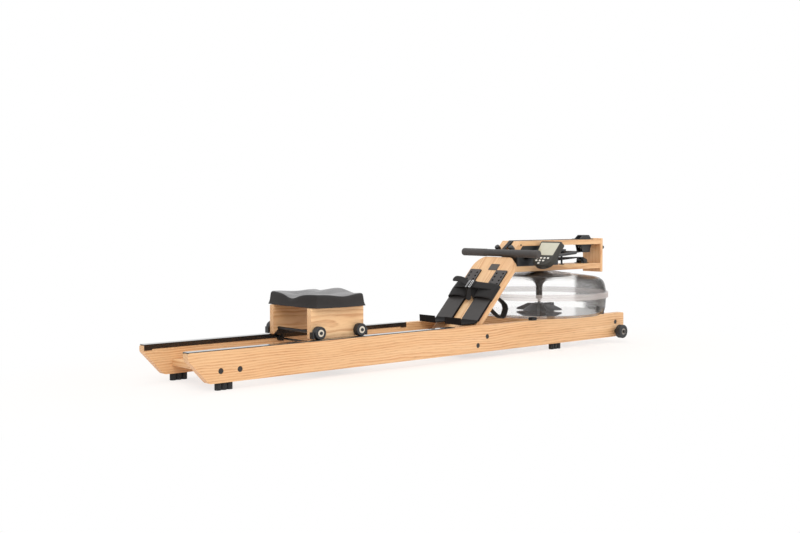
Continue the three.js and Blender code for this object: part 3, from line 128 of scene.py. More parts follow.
# %% [markdown]
# ## Finishes
# A finish is a material built from nodes. Sums on sockets are plain expressions: the Value class wraps a
# socket, and each sign on it adds a Math node. Every other node comes from one method, which takes the node's
# type, its settings, and the values or links of its sockets.

# %% Values and finishes
def math_node(operation, first=0):
    """A method that puts a Math node on a value, at input first, and another one."""
    def method(self, other):
        return self.nodes.node("ShaderNodeMath", {"operation": operation}, {first: self, 1 - first: other})
    return method


class Value:
    """A number in a material. Sums on it become Math nodes."""

    def __init__(self, nodes, socket):
        self.nodes = nodes
        self.socket = socket

    __add__ = __radd__ = math_node("ADD")
    __sub__, __rsub__ = math_node("SUBTRACT"), math_node("SUBTRACT", 1)
    __mul__ = __rmul__ = math_node("MULTIPLY")
    __truediv__ = math_node("DIVIDE")
    __pow__ = math_node("POWER")


class Nodes:
    """The nodes of a material or of the world."""

    def __init__(self, owner, output):
        owner.use_nodes = True
        self.tree = owner.node_tree
        self.tree.nodes.clear()
        self.output = self.tree.nodes.new(output)

    def join(self, value, socket):
        if isinstance(value, Value):
            self.tree.links.new(value.socket, socket)
        else:
            socket.default_value = value

    def node(self, kind, settings=None, sockets=None, output=0):
        made = self.tree.nodes.new(kind)
        for name, value in (settings or {}).items():
            setattr(made, name, value)
        for name, value in (sockets or {}).items():
            self.join(value, made.inputs[name])
        return Value(self, made.outputs[output])

    def show(self, shader):
        self.join(shader, self.output.inputs["Surface"])


class Finish(Nodes):
    """A material, with the patterns that finishes are made of."""

    def __init__(self, name):
        self.material = bpy.data.materials.new(name)
        super().__init__(self.material, "ShaderNodeOutputMaterial")

    def surface(self, **sockets):
        """One Principled shader; each socket is named with _ for a space."""
        named = {name.replace("_", " "): value for name, value in sockets.items()}
        self.show(self.node("ShaderNodeBsdfPrincipled", None, named))
        return self.material

    def place(self, centre=(0, 0, 0), turn=(0, 0, 0), scale=(1, 1, 1)):
        """Object coordinates, centred and turned, then scaled."""
        coordinates = self.node("ShaderNodeTexCoord", output="Object")
        moved = self.node("ShaderNodeMapping", {"vector_type": "TEXTURE"},
                          {"Vector": coordinates, "Location": centre, "Rotation": turn})
        return self.node("ShaderNodeMapping", None, {"Vector": moved, "Scale": scale})

    def noise(self, where, scale, detail=2.0, roughness=0.5):
        return self.node("ShaderNodeTexNoise", None,
                         {"Vector": where, "Scale": scale, "Detail": detail, "Roughness": roughness})

    def step(self, value, low, high, start=0.0, end=1.0):
        """A smooth step from start to end, as value goes from low to high."""
        reach = {"Value": value, "From Min": low, "From Max": high, "To Min": start, "To Max": end}
        return self.node("ShaderNodeMapRange", {"interpolation_type": "SMOOTHSTEP"}, reach)

    def blend(self, share, first, second):
        """A mix of two colours, which a Mix node takes in sockets 6 and 7 and gives from output 2."""
        return self.node("ShaderNodeMix", {"data_type": "RGBA"}, {"Factor": share, 6: first, 7: second}, 2)

    def bump(self, height, distance, strength=1.0):
        return self.node("ShaderNodeBump", None,
                         {"Height": height, "Distance": distance, "Strength": strength})


def colour(red, green, blue):
    """A screen colour of 0 to 255 as the linear one that a shader takes."""
    shares = [c / 255 for c in (red, green, blue)]
    return (*[s / 12.92 if s <= 0.04045 else ((s + 0.055) / 1.055) ** 2.4 for s in shares], 1)


def toned(shade, times):
    """A linear colour, some times as light."""
    return (*[min(c * times, 1) for c in shade[:3]], 1)


print("mid grey in linear light:", round(colour(128, 128, 128)[0], 3))

# %% [markdown]
# ## The studio
# White paper lies under the machine. To the camera, and in what glossy and clear things show, part of its
# colour is its own glow. That part grows with the distance from the machine until it is all, so the soft
# shadow under the rails stays and the paper runs into the white world without a line.

# %% World and lamps
WORLD_LIGHT = 0.62
WHITE = (1, 1, 1, 1)
LAMPS_LOOK_AT = Vector((0, 0, 0.2))


def on_show(nodes):
    """1 for a ray from the camera, a gloss or a clear skin, and 0 for one that only lights."""
    kinds = ("Camera", "Glossy", "Transmission")
    rays = [nodes.node("ShaderNodeLightPath", output=f"Is {kind} Ray") for kind in kinds]
    return nodes.node("ShaderNodeMath", {"operation": "ADD", "use_clamp": True},
                      {0: rays[0] + rays[1], 1: rays[2]})


world = bpy.data.worlds.new("studio")
bpy.context.scene.world = world
sky = Nodes(world, "ShaderNodeOutputWorld")
strength = sky.node("ShaderNodeMapRange", None, {"Value": on_show(sky), "To Min": WORLD_LIGHT})
sky.show(sky.node("ShaderNodeBackground", None, {"Color": WHITE, "Strength": strength}))

for name, place, size, power in (("key", (-2.2, -2.6, 2.6), 2.6, 62), ("fill", (2.4, -2.2, 1.8), 2.4, 26),
                                 ("top", (0.2, 0.4, 3.0), 3.0, 40)):
    lamp = put(name, bpy.data.lights.new(name, "AREA"))
    lamp.data.size = size
    lamp.data.energy = power
    lamp.location = place
    lamp.rotation_mode = "QUATERNION"
    lamp.rotation_quaternion = (LAMPS_LOOK_AT - lamp.location).to_track_quat("-Z", "Y")
print("world's light:", WORLD_LIGHT)

# %% Paper floor
FLOOR_GLOW, GLOW_GROWS_FROM, GLOW_IS_ALL = 0.66, 0.3, 1.1


def to_mesh(bm, name, sharp=None, smooth=False):
    """The mesh of a bmesh. Edges where faces meet at more than a sharp angle in degrees look hard."""
    for face in bm.faces:
        face.smooth = smooth
    mesh = bpy.data.meshes.new(name)
    bm.to_mesh(mesh)
    bm.free()
    if sharp:
        mesh.set_sharp_from_angle(angle=math.radians(sharp))
    return mesh


bm = bmesh.new()
bmesh.ops.create_grid(bm, x_segments=1, y_segments=1, size=30)
floor = put("floor", to_mesh(bm, "floor"))
paper = Finish("floor_paper")
lit = paper.node("ShaderNodeBsdfDiffuse", None, {"Color": colour(250, 236, 224)})
glow = paper.node("ShaderNodeEmission", None, {"Color": WHITE, "Strength": 1.0})
oval = paper.place(scale=(0.6, 1, 1))
away = paper.node("ShaderNodeVectorMath", {"operation": "LENGTH"}, {0: oval}, "Value")
share = paper.step(away, GLOW_GROWS_FROM, GLOW_IS_ALL, FLOOR_GLOW, 1)
paper.show(paper.node("ShaderNodeMixShader", None, {0: on_show(paper) * share, 1: lit, 2: glow}))
floor.data.materials.append(paper.material)
floor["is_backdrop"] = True
print("floor's own glow:", FLOOR_GLOW)

# %% [markdown]
# ## Dark cards
# Clear plastic on white paper has hardly an edge to see. A photographer stands black card behind it, seen
# through the plastic but kept out of the picture. Here two cards stand a third of a metre beyond the
# machine's end. They are hidden from the camera, from shadows and from soft light, so only rays that pass
# through the tank's shells meet them. Lines of sight from the camera give their corners.

# %% Cards behind the tank
card_finish = Finish("dark_card")
smoke = card_finish.noise(card_finish.place(scale=(13, 13, 1.9)), 1.0, 2.0)
shade = card_finish.blend(card_finish.step(smoke, 0.35, 0.65), colour(78, 73, 70), colour(34, 31, 30))
card_finish.show(card_finish.node("ShaderNodeEmission", None, {"Color": shade, "Strength": 1.0}))
CARD_RIGHT, CARD_SEAM, CARD_REACH = (1.3, -0.1), 0.148, 1.08


def beyond(place):
    """Where the line of sight through a place meets the card, or the paper if that is nearer."""
    to_paper = CAMERA_PLACE.z / (CAMERA_PLACE.z - place.z) * 0.999
    return CAMERA_PLACE + (place - CAMERA_PLACE) * min(CARD_REACH, to_paper)


for name, left, low, high in (("wide", (1.089, 0.143), CARD_SEAM, 0.4),
                              ("narrow", (1.1155, 0.1125), 0.02, CARD_SEAM)):
    bm = bmesh.new()
    bmesh.ops.create_grid(bm, x_segments=1, y_segments=1, size=0.5)
    for vert in bm.verts:
        across, up = vert.co.x + 0.5, vert.co.y + 0.5
        place = Vector(left).lerp(Vector(CARD_RIGHT), across)
        vert.co = beyond(Vector((place.x, place.y, low + (high - low) * up)))
    card = put(f"{name}_card", to_mesh(bm, f"{name}_card"))
    card.data.materials.append(card_finish.material)
    card.visible_camera = card.visible_diffuse = card.visible_shadow = card.visible_glossy = False
    card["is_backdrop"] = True
print("the dark cards meet at", CARD_SEAM, "m")

# %% [markdown]
# ## Oiled ash
# Ash has narrow growth rings with a band of open pores. A picture of wood would stretch on the end grain, so
# the rings are a solid: the distance from a heart line above or below each plank, bent a little along the
# grain, counts them. The same field gives wavy lines on the faces and arcs on the ends, as in real timber,
# and a slow bend closes some of the lines into long flames.

# %% Wood
RING = 0.0078
HONEY = (colour(234, 194, 147), colour(222, 174, 122))
PALE = (colour(246, 208, 160), colour(238, 188, 136))
LATE_WOOD, PORES = colour(196, 134, 84), colour(146, 90, 54)


def ash(name, heart, turn=(0, 0, 0), tone=0.5, flame=0.012, tones=HONEY):
    """Ash with its heart line through a place in metres; unturned, the grain runs along X."""
    wood = Finish(name)
    along = wood.place(heart, turn)

    def stretched(scale, detail=2.0, roughness=0.5):
        where = wood.node("ShaderNodeMapping", None, {"Vector": along, "Scale": scale})
        return wood.noise(where, 1.0, detail, roughness)

    slow = stretched((2.2, 9, 9))
    wave = stretched((14, 45, 45), 1.0)
    parts = [wood.node("ShaderNodeSeparateXYZ", None, {0: along}, axis) for axis in ("Y", "Z")]
    reach = (parts[0] ** 2 + parts[1] ** 2) ** 0.5 + (slow - 0.5) * flame * 2 + (wave - 0.5) * 0.005
    ring = wood.node("ShaderNodeMath", {"operation": "FRACT"}, {0: reach / RING})
    late = wood.step(ring, 0.2, 0.85) * (1 - wood.step(ring, 0.86, 1.0))
    strong = wood.step(stretched((5, 60, 60), 3.0), 0.35, 0.7, 0.35, 1)
    streak = wood.step(stretched((26, 850, 850), 3.0, 0.6), 0.5, 0.74)
    patch = stretched((3, 16, 16), 3.0)
    base = wood.blend(wood.step(patch, 0.25, 0.75, 0, tone), *tones)
    ringed = wood.blend(late * strong * 0.76, base, LATE_WOOD)
    pored = wood.blend(streak * (0.18 + late * 0.42), ringed, PORES)
    return wood.surface(
        Base_Color=pored, Roughness=0.44 + streak * 0.2 + (patch - 0.5) * 0.12,
        Normal=wood.bump(streak * -0.6 + late * 0.5, 0.0004, 0.5), Coat_Weight=0.1, Coat_Roughness=0.35)


SLOPING = (0, -BOARD_ANGLE, 0)
UPRIGHT = (0, -math.pi / 2, 0)
CROSSWISE = (0, 0, math.pi / 2)
timber = {
    "rail_near": ash("ash_rail_near", at(900, -105, -30), flame=0.02),
    "rail_far": ash("ash_rail_far", at(400, 170, 240), flame=0.018),
    "footboard": ash("ash_footboard", on_board(300, 30, -62), SLOPING, 0.6, 0.022),
    "footboard_beam": ash("ash_beam", at(1250, 60, -60), CROSSWISE, 0.7),
    "rear_block": ash("ash_rear_block", at(148, 30, -50), CROSSWISE),
    "front_block": ash("ash_front_block", at(2045, 0, -50), CROSSWISE),
    "deck_bottom_plank": ash("ash_bottom_plank", at(1800, 150, 290), tone=0.6, flame=0.01),
    "deck_top_plank": ash("ash_top_plank", at(1700, -140, 400), flame=0.01),
    "front_board": ash("ash_front_board", at(2035, 130, 360), UPRIGHT),
    "seat_panel_near": ash("ash_seat_near", at(590, -75, 172), tones=PALE),
    "seat_panel_far": ash("ash_seat_far", at(590, 60, 172), flame=0.014),
}
print("timber finishes:", len(timber))

# %% [markdown]
# ## Plastics, rubber and metal
# The moulded parts differ in how far they shine: glossy bolts and pulleys, satin monitor shell, dull rubber
# feet and grip. All have a fine spark-eroded grain, which is a small bump, and slight patches where hands
# polish them.

# %% Moulded and metal finishes
def moulded(name, shade, roughness, grain=0.00006, size=1400, coat=0.0, lighter=1.25, mirror=0.5):
    """Moulded plastic or rubber with a fine grain."""
    skin, shade = Finish(name), colour(*shade)
    where = skin.place()
    fine = skin.noise(where, size, 2.0)
    patches = skin.noise(where, 24, 3.0)
    return skin.surface(
        Base_Color=skin.blend(skin.step(patches, 0.35, 0.75), shade, toned(shade, lighter)),
        Roughness=roughness + (patches - 0.5) * 0.12 + (fine - 0.5) * 0.08,
        Normal=skin.bump(fine, grain, 0.7), Coat_Weight=coat, Specular_IOR_Level=mirror)


def metal(name, shade, roughness):
    """Steel with fine turning marks."""
    skin, shade = Finish(name), colour(*shade)
    marks = skin.noise(skin.place(scale=(60, 1, 60)), 40, 3.0)
    return skin.surface(
        Base_Color=skin.blend(marks, shade, toned(shade, 0.8)), Metallic=1.0,
        Roughness=roughness + (marks - 0.5) * 0.15, Normal=skin.bump(marks, 0.00003, 0.6))


black = moulded("black_moulding", (30, 32, 34), 0.42)
gloss_black = moulded("gloss_black", (22, 23, 25), 0.26, 0.00002)
track_black = moulded("track_black", (24, 25, 27), 0.12, 0.000005, coat=0.6)
bolt_black = moulded("bolt_black", (38, 34, 32), 0.4)
shell_black = moulded("monitor_shell", (50, 49, 45), 0.5, 0.00008, 1100, mirror=0.35)
plate_grey = moulded("plate_grey", (68, 64, 63), 0.55, 0.0001, 900, mirror=0.35)
# The grey of the soles is a painted sheen on black plastic, where light from above falls on the face. The
# darker
# black is the heel rests' own black with painted shade on edges and cups, and painted shade alone in the
# plate holes.
sole_painted_sheen = moulded("sole_painted_sheen", (54, 51, 50), 0.5, 0.0001, 900, mirror=0.35)
black_and_painted_shade = moulded("painted_shade_black", (22, 20, 20), 0.7, 0.0001, 900, mirror=0.12)
tyre = moulded("wheel_tyre", (36, 37, 39), 0.55, 0.0001)
hub_pale = moulded("hub_cap", (212, 207, 194), 0.4, lighter=1.05)
hub_dim = moulded("transport_hub", (150, 147, 142), 0.45, lighter=1.1)
rubber = moulded("dull_rubber", (30, 31, 33), 0.8, 0.00015, 900)
grip = moulded("handle_foam", (64, 61, 60), 0.7, 0.0003, 1600)
grip_dark = moulded("handle_core", (56, 54, 54), 0.6, 0.0002, 1200)
paddle_grey = moulded("paddle_grey", (92, 93, 95), 0.5, mirror=0.3)
bell_grey = moulded("bearing_grey", (68, 64, 61), 0.5, mirror=0.3)
key_white = moulded("key_white", (232, 231, 224), 0.5, lighter=1.04)
dark_steel = metal("blackened_steel", (70, 72, 75), 0.4)
print("moulded and metal finishes made")

# %% [markdown]
# ## Dressing a solid
# The solids have the right shape but knife edges, and light catches on the small round of a real edge. A
# dressed piece is a copy of the solid. Its loose triangles are merged, flat areas are joined, and each edge
# sharper than a set angle gets a weight, which the Bevel modifier turns into a small round.

# %% Dressing
BODY_OF = {node: body for body, nodes in frame["record"]["behaviour"]["bodies"].items() for node in nodes}


def finished(name, mesh, materials, node=None, body="frame"):
    """A piece of the object with its materials. One that replaces a node has that node's body, and the node
    is hidden.
    """
    piece = put(name, mesh)
    for material in materials:
        mesh.materials.append(material)
    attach(piece, BODY_OF[node] if node else body)
    if node:
        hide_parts(node)
    return piece


def soften(piece, width, weighted=True):
    """A small round on the edges that carry a weight, or else on all that are sharp."""
    bevel = piece.modifiers.new("soft edges", "BEVEL")
    bevel.width = width
    bevel.segments = 2
    bevel.limit_method = "WEIGHT" if weighted else "ANGLE"
    bevel.harden_normals = True
    bevel.use_clamp_overlap = True
    return piece


def dressed(node, materials, width=0.0012, pick=None, sharp=38):
    """A copy of a node. pick says, by a face's centre in mm and normal, if it has the second material."""
    bm = bmesh.new()
    bm.from_mesh(frame["nodes"][node].data)
    bmesh.ops.remove_doubles(bm, verts=bm.verts, dist=1e-5)
    bmesh.ops.dissolve_limit(bm, angle_limit=math.radians(1), verts=bm.verts, edges=bm.edges)
    weight = bm.edges.layers.float.new("bevel_weight_edge")
    for edge in bm.edges:
        if len(edge.link_faces) == 2 and edge.calc_face_angle(0) > math.radians(sharp):
            edge[weight] = 1
    for face in bm.faces if pick else ():
        centre = face.calc_center_median() / MM + Vector((RAIL_LENGTH / 2, 0, 0))
        face.material_index = pick(centre, face.normal)
    name = node + "_dressed"
    return soften(finished(name, to_mesh(bm, name, sharp, True), materials, node), width)


# %% [markdown]
# ## Timber parts
# Rails, board, planks and blocks are sawn timber with eased edges of a millimetre or two. Bolt heads and the
# transport axle belong to the blocks' solids, and the pegs to the top plank's, so those faces are picked by
# where they lie.

# %% Rails, board, deck and blocks
RAIL_INNER = 121.5
WHEEL_TOP = 126


def beyond_block(centre, _):
    """A block ends at the rails' inner faces, and its bolts go on."""
    return abs(centre.y) > RAIL_INNER - 0.2


def keeper_hanger(centre, _):
    """The foot of a seat panel, which holds the keeper rod under the track."""
    return centre.z < WHEEL_TOP


def is_peg(centre, _):
    """The pegs stand out of the nose of the top plank."""
    s, d = up_and_out(centre)
    return d > -13.5 and s < 575 and centre.x < 1540


for node in ("rail_near", "rail_far", "footboard", "deck_bottom_plank", "front_board"):
    dressed(node, [timber[node]], 0.0016)
for node in ("seat_panel_near", "seat_panel_far"):
    dressed(node, [timber[node], gloss_black], 0.0012, keeper_hanger)
for node in ("rear_block", "footboard_beam", "front_block"):
    dressed(node, [timber[node], bolt_black], 0.0009, beyond_block)
dressed("deck_top_plank", [timber["deck_top_plank"], gloss_black], 0.0012, is_peg)
print("timber dressed")

# %% [markdown]
# ## Small mouldings
# Tracks, feet, brackets, guard, monitor shell and keys keep their solids' shape, with finer rounds. Each
# hole of a foot plate gets a black ring of painted shade: a ring of edges, extruded, scaled outwards and
# given a thickness.

# %% Painted shade round the holes
def on_slope(s, y, d):
    """A frame on the board: X up the slope, Y across, Z out of its face."""
    return Matrix.Translation(on_board(s, y, d)) @ Matrix.Rotation(-BOARD_ANGLE, 4, "Y")


PLATE_MIDDLE, PLATE_THICK = 70, 4
TOP_HOLE, HOLE_PITCH, HOLE_ROWS, HOLE_SPREAD = 417, 17.3, 8, 17
RIM_INNER, RIM_OUTER, RIM_STANDS_OUT = 3.2, 4.4, 0.12

for side, sign in NEAR_AND_FAR:
    bm = bmesh.new()
    for row in range(HOLE_ROWS):
        for column in (-1, 1):
            ring = bmesh.ops.create_circle(bm, cap_ends=False, radius=RIM_INNER * MM, segments=20)["verts"]
            edges = list({e for v in ring for e in v.link_edges})
            made = bmesh.ops.extrude_edge_only(bm, edges=edges)["geom"]
            wide = [e for e in made if isinstance(e, bmesh.types.BMVert)]
            bmesh.ops.scale(bm, verts=wide, vec=(RIM_OUTER / RIM_INNER, RIM_OUTER / RIM_INNER, 1))
            hole = on_slope(TOP_HOLE - HOLE_PITCH * row, sign * PLATE_MIDDLE + column * HOLE_SPREAD,
                            PLATE_THICK + RIM_STANDS_OUT)
            bmesh.ops.transform(bm, verts=ring + wide, matrix=hole)
    bmesh.ops.recalc_face_normals(bm, faces=bm.faces)
    bmesh.ops.solidify(bm, geom=bm.faces[:], thickness=0.0002)
    finished("hole_shade_rings_" + side, to_mesh(bm, "hole_shade_rings"), [black_and_painted_shade])
print("painted_hole_shades made:", HOLE_ROWS * 4)

# %% Tracks, feet and brackets
def wall_of_plate(_, normal):
    """The plate's edges and the walls of its holes are painted dark as shade; the rest is the plate's grey
    face.
    """
    return abs(normal.dot(BOARD_OUT)) < 0.5


for side, _ in NEAR_AND_FAR:
    dressed("track_" + side, [track_black], 0.0006)
    dressed("foot_plate_" + side, [plate_grey, black_and_painted_shade], 0.0005, wall_of_plate)
    for end in ("rear", "front"):
        dressed(f"foot_{end}_{side}", [rubber], 0.0008)
for node in ("drum_guard", "front_pulley_bracket", "recoil_pulley_bracket", "monitor_bracket"):
    dressed(node, [black], 0.0006)
dressed("monitor_case", [shell_black], 0.0007, sharp=30)
for number in range(1, 9):
    dressed(f"key_{number}", [key_white], 0.0006)
dressed("seat_keeper", [gloss_black], 0.0007)
dressed("rear_pulley_axle", [dark_steel], 0.0006)
dressed("front_knob", [rubber], 0.0008)
for end in ("rear", "front"):
    dressed("seat_axle_" + end, [dark_steel], 0.0006)
print("mouldings dressed")

# %% [markdown]
# ## Turned parts
# Wheels, pulleys, drum, tank and bearing are bodies of revolution. The solids have few facets, so each is
# turned again: half a section is drawn as a line, its corners are rounded, and spin carries it round.

# %% Turning
def rounded(corners, steps=4):
    """A line of [radius, height, round] corners with each round drawn as a short arc."""
    line = []
    for i, (r, h, *radius) in enumerate(corners):
        here = Vector((r, h))
        if not radius or i in (0, len(corners) - 1):
            line.append(here)
            continue
        back = (Vector(corners[i - 1][:2]) - here).normalized()
        ahead = (Vector(corners[i + 1][:2]) - here).normalized()
        half = math.acos(max(-1, min(1, back.dot(ahead)))) / 2
        reach = radius[0] / math.tan(half)
        centre = here + (back + ahead).normalized() * (radius[0] / math.sin(half))
        start, end = here + back * reach - centre, here + ahead * reach - centre
        turn = start.angle_signed(end)
        for k in range(steps + 1):
            line.append(centre + Matrix.Rotation(-turn * k / steps, 2) @ start)
    return line


def turned(name, corners, centre, materials, node=None, axis="Y", sides=64, pick=None):
    """A body of revolution about Y or Z. Heights run along the axis from the centre, all in millimetres."""
    line = rounded(corners)
    bm = bmesh.new()
    along = Vector((0, 1, 0)) if axis == "Y" else Vector((0, 0, 1))
    verts = [bm.verts.new(centre + (Vector((p.x, 0, 0)) + along * p.y) * MM) for p in line]
    pairs = list(zip(verts, verts[1:])) + ([] if line[0].x < 1e-6 else [(verts[-1], verts[0])])
    edges = [bm.edges.new(pair) for pair in pairs]
    bmesh.ops.spin(bm, geom=verts + edges, cent=centre, axis=along, angle=2 * math.pi, steps=sides,
                   use_merge=True)
    bmesh.ops.remove_doubles(bm, verts=bm.verts, dist=1e-6)
    bmesh.ops.recalc_face_normals(bm, faces=bm.faces)
    for face in bm.faces if pick else ():
        face.material_index = pick((face.calc_center_median() - centre) / MM)
    return finished(name, to_mesh(bm, name, 32, True), materials, node)


print("points of a rounded corner:", len(rounded([(0, 0), (5, 0, 2), (5, 5)])) - 2)

# %% Seat and transport wheels
SEAT_AXLES = (("rear", 499), ("front", 672))
SEAT_WHEEL_Y, SEAT_WHEEL_Z = 132.7, 146.65
SEAT_HUB, TRANSPORT_HUB = 11.8, 13


def hub_or_tyre(hub):
    """Faces within the hub's radius are its cap."""
    return lambda p: math.hypot(p.x, p.z) < hub


for end, x in SEAT_AXLES:
    for side, sign in NEAR_AND_FAR:
        name = f"seat_wheel_{end}_{side}"
        turned(name + "_tyre", [
            (5.4, -11), (11.6, -11.5, 0.6), (12, -10.6, 0.3), (16.4, -10.6, 0.4), (17, -11.5, 0.4),
            (21.5, -11.5, 3), (21.5, 11.5, 3), (17, 11.5, 0.4), (16.4, 10.6, 0.4), (12, 10.6, 0.3),
            (11.6, 11.5, 0.6), (5.4, 11),
        ], at(x, sign * SEAT_WHEEL_Y, SEAT_WHEEL_Z), [tyre, hub_pale], name, pick=hub_or_tyre(SEAT_HUB))
for side, sign in NEAR_AND_FAR:
    name = "transport_wheel_" + side
    turned(name + "_tyre", [
        (6.4, -10.5), (12.7, -10.5, 0.4), (13.3, -12.5, 0.4), (23, -12.5, 0.6), (28, -12.5, 4), (28, 12.5, 4),
        (23, 12.5, 0.6), (13.3, 12.5, 0.4), (12.7, 10.5, 0.4), (6.4, 10.5),
    ], at(2047, sign * 180.05, 47), [tyre, hub_dim], name, pick=hub_or_tyre(TRANSPORT_HUB))
print("six wheels turned")

# %% [markdown]
# ## Pulleys and drum
# The belts are webbing, so their pulleys are plain spools with thin flanges, and the drum is a tall spool
# with a bay for each belt. A copy of a solid would show its facets where light runs round a flange, so all
# are turned.

# %% Pulleys and drum
def spool(name, x, z, radius, flange, bore):
    """A pulley with two thin flanges."""
    rim = radius + flange
    turned(name + "_spool", [
        (bore, -11), (rim, -11, 0.5), (rim, -9.9, 0.4), (radius, -9.3, 0.4), (radius, 9.3, 0.4),
        (rim, 9.9, 0.4), (rim, 11, 0.5), (bore, 11),
    ], at(x, 0, z), [gloss_black], name)


spool("rear_pulley", 1568, 413.9, 16.5, 2, 4.4)
spool("front_pulley", 2015, 405.1, 25.3, 2.2, 4.4)
spool("recoil_pulley", 2001, 342.5, 11, 1.5, 3.4)
TANK_X, DRUM_BASE = 1732, 330.3
turned("belt_drum_spool", [
    (0, -86), (6, -86, 0.6), (6, 0), (40, 0, 0.8), (40, 5.1, 0.8), (32, 5.1, 0.5), (32, 24.9, 0.5),
    (40, 24.9, 0.8), (40, 36.1, 0.8), (32, 36.1, 0.5), (32, 55.9, 0.5), (40, 55.9, 0.8), (40, 58.9, 0.8),
    (18.2, 58.9, 1), (18.2, 76, 1), (0, 76),
], at(TANK_X, 0, DRUM_BASE), [black], "belt_drum", axis="Z")
print("pulleys and drum turned")

# %% [markdown]
# ## The water tank
# The tank is two polycarbonate shells, joined at a flange, and so clear that only the rims and the grey
# paddle show. A refracting shell keeps lamplight out of the tank, and a see-through skin shows no depth, so
# the skin is partly both: where its alpha lets a ray pass, light reaches the paddle, and the other rays pass
# as through glass and find the dark cards. Thin parallel walls bend light very little, so the glass has
# almost no bend of its own. A coat gives its sheen, and at grazing edges a painted shade darkens its tint.

# %% Clear shells and bearing
def clear(name, tint, grazing_painted_shade, low, high, roughness=0.0, through=1.0):
    """A clear skin. low and high are its alpha face on and at a grazing angle."""
    shell = Finish(name)
    edge = shell.node("ShaderNodeLayerWeight", None, {"Blend": 0.5}, "Facing")
    return shell.surface(
        Base_Color=shell.blend(shell.step(edge, 0.6, 1.0), tint, grazing_painted_shade), Roughness=roughness, IOR=1.01,
        Transmission_Weight=through, Alpha=shell.step(edge, 0.3, 1.0, low, high), Coat_Weight=0.15,
        Coat_Roughness=0.05)


shell_clear = clear("clear_shell", colour(254, 253, 252), colour(190, 188, 187), 0.3, 0.8)
rim_clear = clear("clear_rim", colour(204, 197, 195), colour(188, 181, 180), 0.4, 0.7, 0.2, 0.0)
TANK = at(TANK_X, 0, 0)
SEAM_BAND = 272.6


def rim_face(p):
    """The outer faces of the flange are frosted a little."""
    return math.hypot(p.x, p.y) > SEAM_BAND


turned("tank_bowl_shell", [
    (0, 128), (232, 128), (266, 128, 34), (272, 201, 3), (279.5, 201, 1), (279.5, 211.85, 0.8), (268, 211.85),
    (268, 200, 2), (262, 132, 30), (14, 132, 2), (14, 139, 0.8), (6.4, 139), (6.4, 132), (0, 132),
], TANK, [shell_clear, rim_clear], "tank_bowl", axis="Z", sides=128, pick=rim_face)
turned("tank_lid_shell", [
    (268, 212.15), (279.5, 212.15, 0.8), (279.5, 223, 1), (272, 223, 3), (268.5, 238, 8), (266, 278, 44),
    (60, 306.6, 40), (20, 306.6, 0.8), (20, 302.6, 0.8), (60, 302.6, 30), (262, 273.6, 40), (264.4, 238, 8),
], TANK, [shell_clear, rim_clear], "tank_lid", axis="Z", sides=128, pick=rim_face)
turned("bearing_bell", [
    (6.4, 190), (13, 190, 1), (13, 238, 6), (16, 252, 8), (30, 268, 14), (70, 280, 20), (132, 284.5, 0.8),
    (132, 288.5, 0.8), (60, 292.5, 4), (30, 302.3, 2), (19.7, 302.3, 0.5), (19.7, 306.3, 0.5), (6.4, 306.3),
], TANK, [bell_grey], "bearing_housing", axis="Z", sides=96)
RAIL_MIDDLE, TANK_RADIUS = 135.9, 272
# Each pad's end, place as a share of the tank's radius, height, and middle above the floor
for end, share, high, z in (("rear", -0.706, 12, 128.6), ("front", 0.838, 32, 138.6)):
    for side, sign in NEAR_AND_FAR:
        bm = bmesh.new()
        bmesh.ops.create_cube(bm, size=1)
        bmesh.ops.scale(bm, verts=bm.verts, vec=Vector((26, 22, high)) * MM)
        bmesh.ops.translate(bm, verts=bm.verts, vec=at(TANK_X + share * TANK_RADIUS, sign * RAIL_MIDDLE, z))
        bmesh.ops.bevel(bm, geom=bm.edges[:], offset=0.0015, segments=2, affect="EDGES", profile=0.5,
                        material=-1)
        finished(f"tank_pad_{end}_{side}", to_mesh(bm, "tank_pad"), [rubber])
print("tank shells, bearing and pads made")

# %% [markdown]
# ## Water
# The tank is about a third full. From beside it, the underside of the water mirrors what is in it, so the
# vanes meet their own image in the floor and read as one lens-shaped dark form. The water itself is a faint
# skin, and the mirror is a disc just under the vanes that works only at grazing angles.

# %% Water
WATER_LEVEL = 197
water_finish = Finish("clear_water")
water_edge = water_finish.node("ShaderNodeLayerWeight", None, {"Blend": 0.3}, "Facing")
water_clear = water_finish.surface(Base_Color=colour(248, 240, 230), Roughness=0.03, IOR=1.33,
                                   Alpha=water_finish.step(water_edge, 0.3, 1.0, 0.02, 0.22))
turned("water", [
    (0, 133.4), (231, 133.4), (261.4, 133.4, 30), (264.5, WATER_LEVEL - 1), (263, WATER_LEVEL, 0.4),
    (0, WATER_LEVEL),
], TANK, [water_clear], axis="Z", sides=96)
mirror_finish = Finish("floor_mirror")
mirror_edge = mirror_finish.node("ShaderNodeLayerWeight", None, {"Blend": 0.5}, "Facing")
mirror = mirror_finish.surface(Base_Color=colour(250, 250, 250), Roughness=0.04, Metallic=1.0,
                               Alpha=mirror_finish.step(mirror_edge, 0.72, 0.9, 0, 0.85))
turned("water_floor", [(9, 139.9), (248, 139.9), (248, 140.3), (9, 140.3)], TANK, [mirror],
       axis="Z", sides=96)
print("water level:", WATER_LEVEL, "mm")

# %% [markdown]
# ## Paddle
# The paddle is a moulded hub with six flat vanes. It could be built again from slabs, but its solid already
# has the vanes' shape, so a copy with rounded edges is enough.

# %% Paddle
paddle = dressed("paddle", [paddle_grey], 0.001, sharp=40)
print("paddle dressed:", len(paddle.data.polygons), "faces")

# %% [markdown]
# ## Handle
# A bar in a soft grip. The hands hold two foam sleeves with a capped end each, and the middle, where the
# strap leaves, is a little thinner and darker.

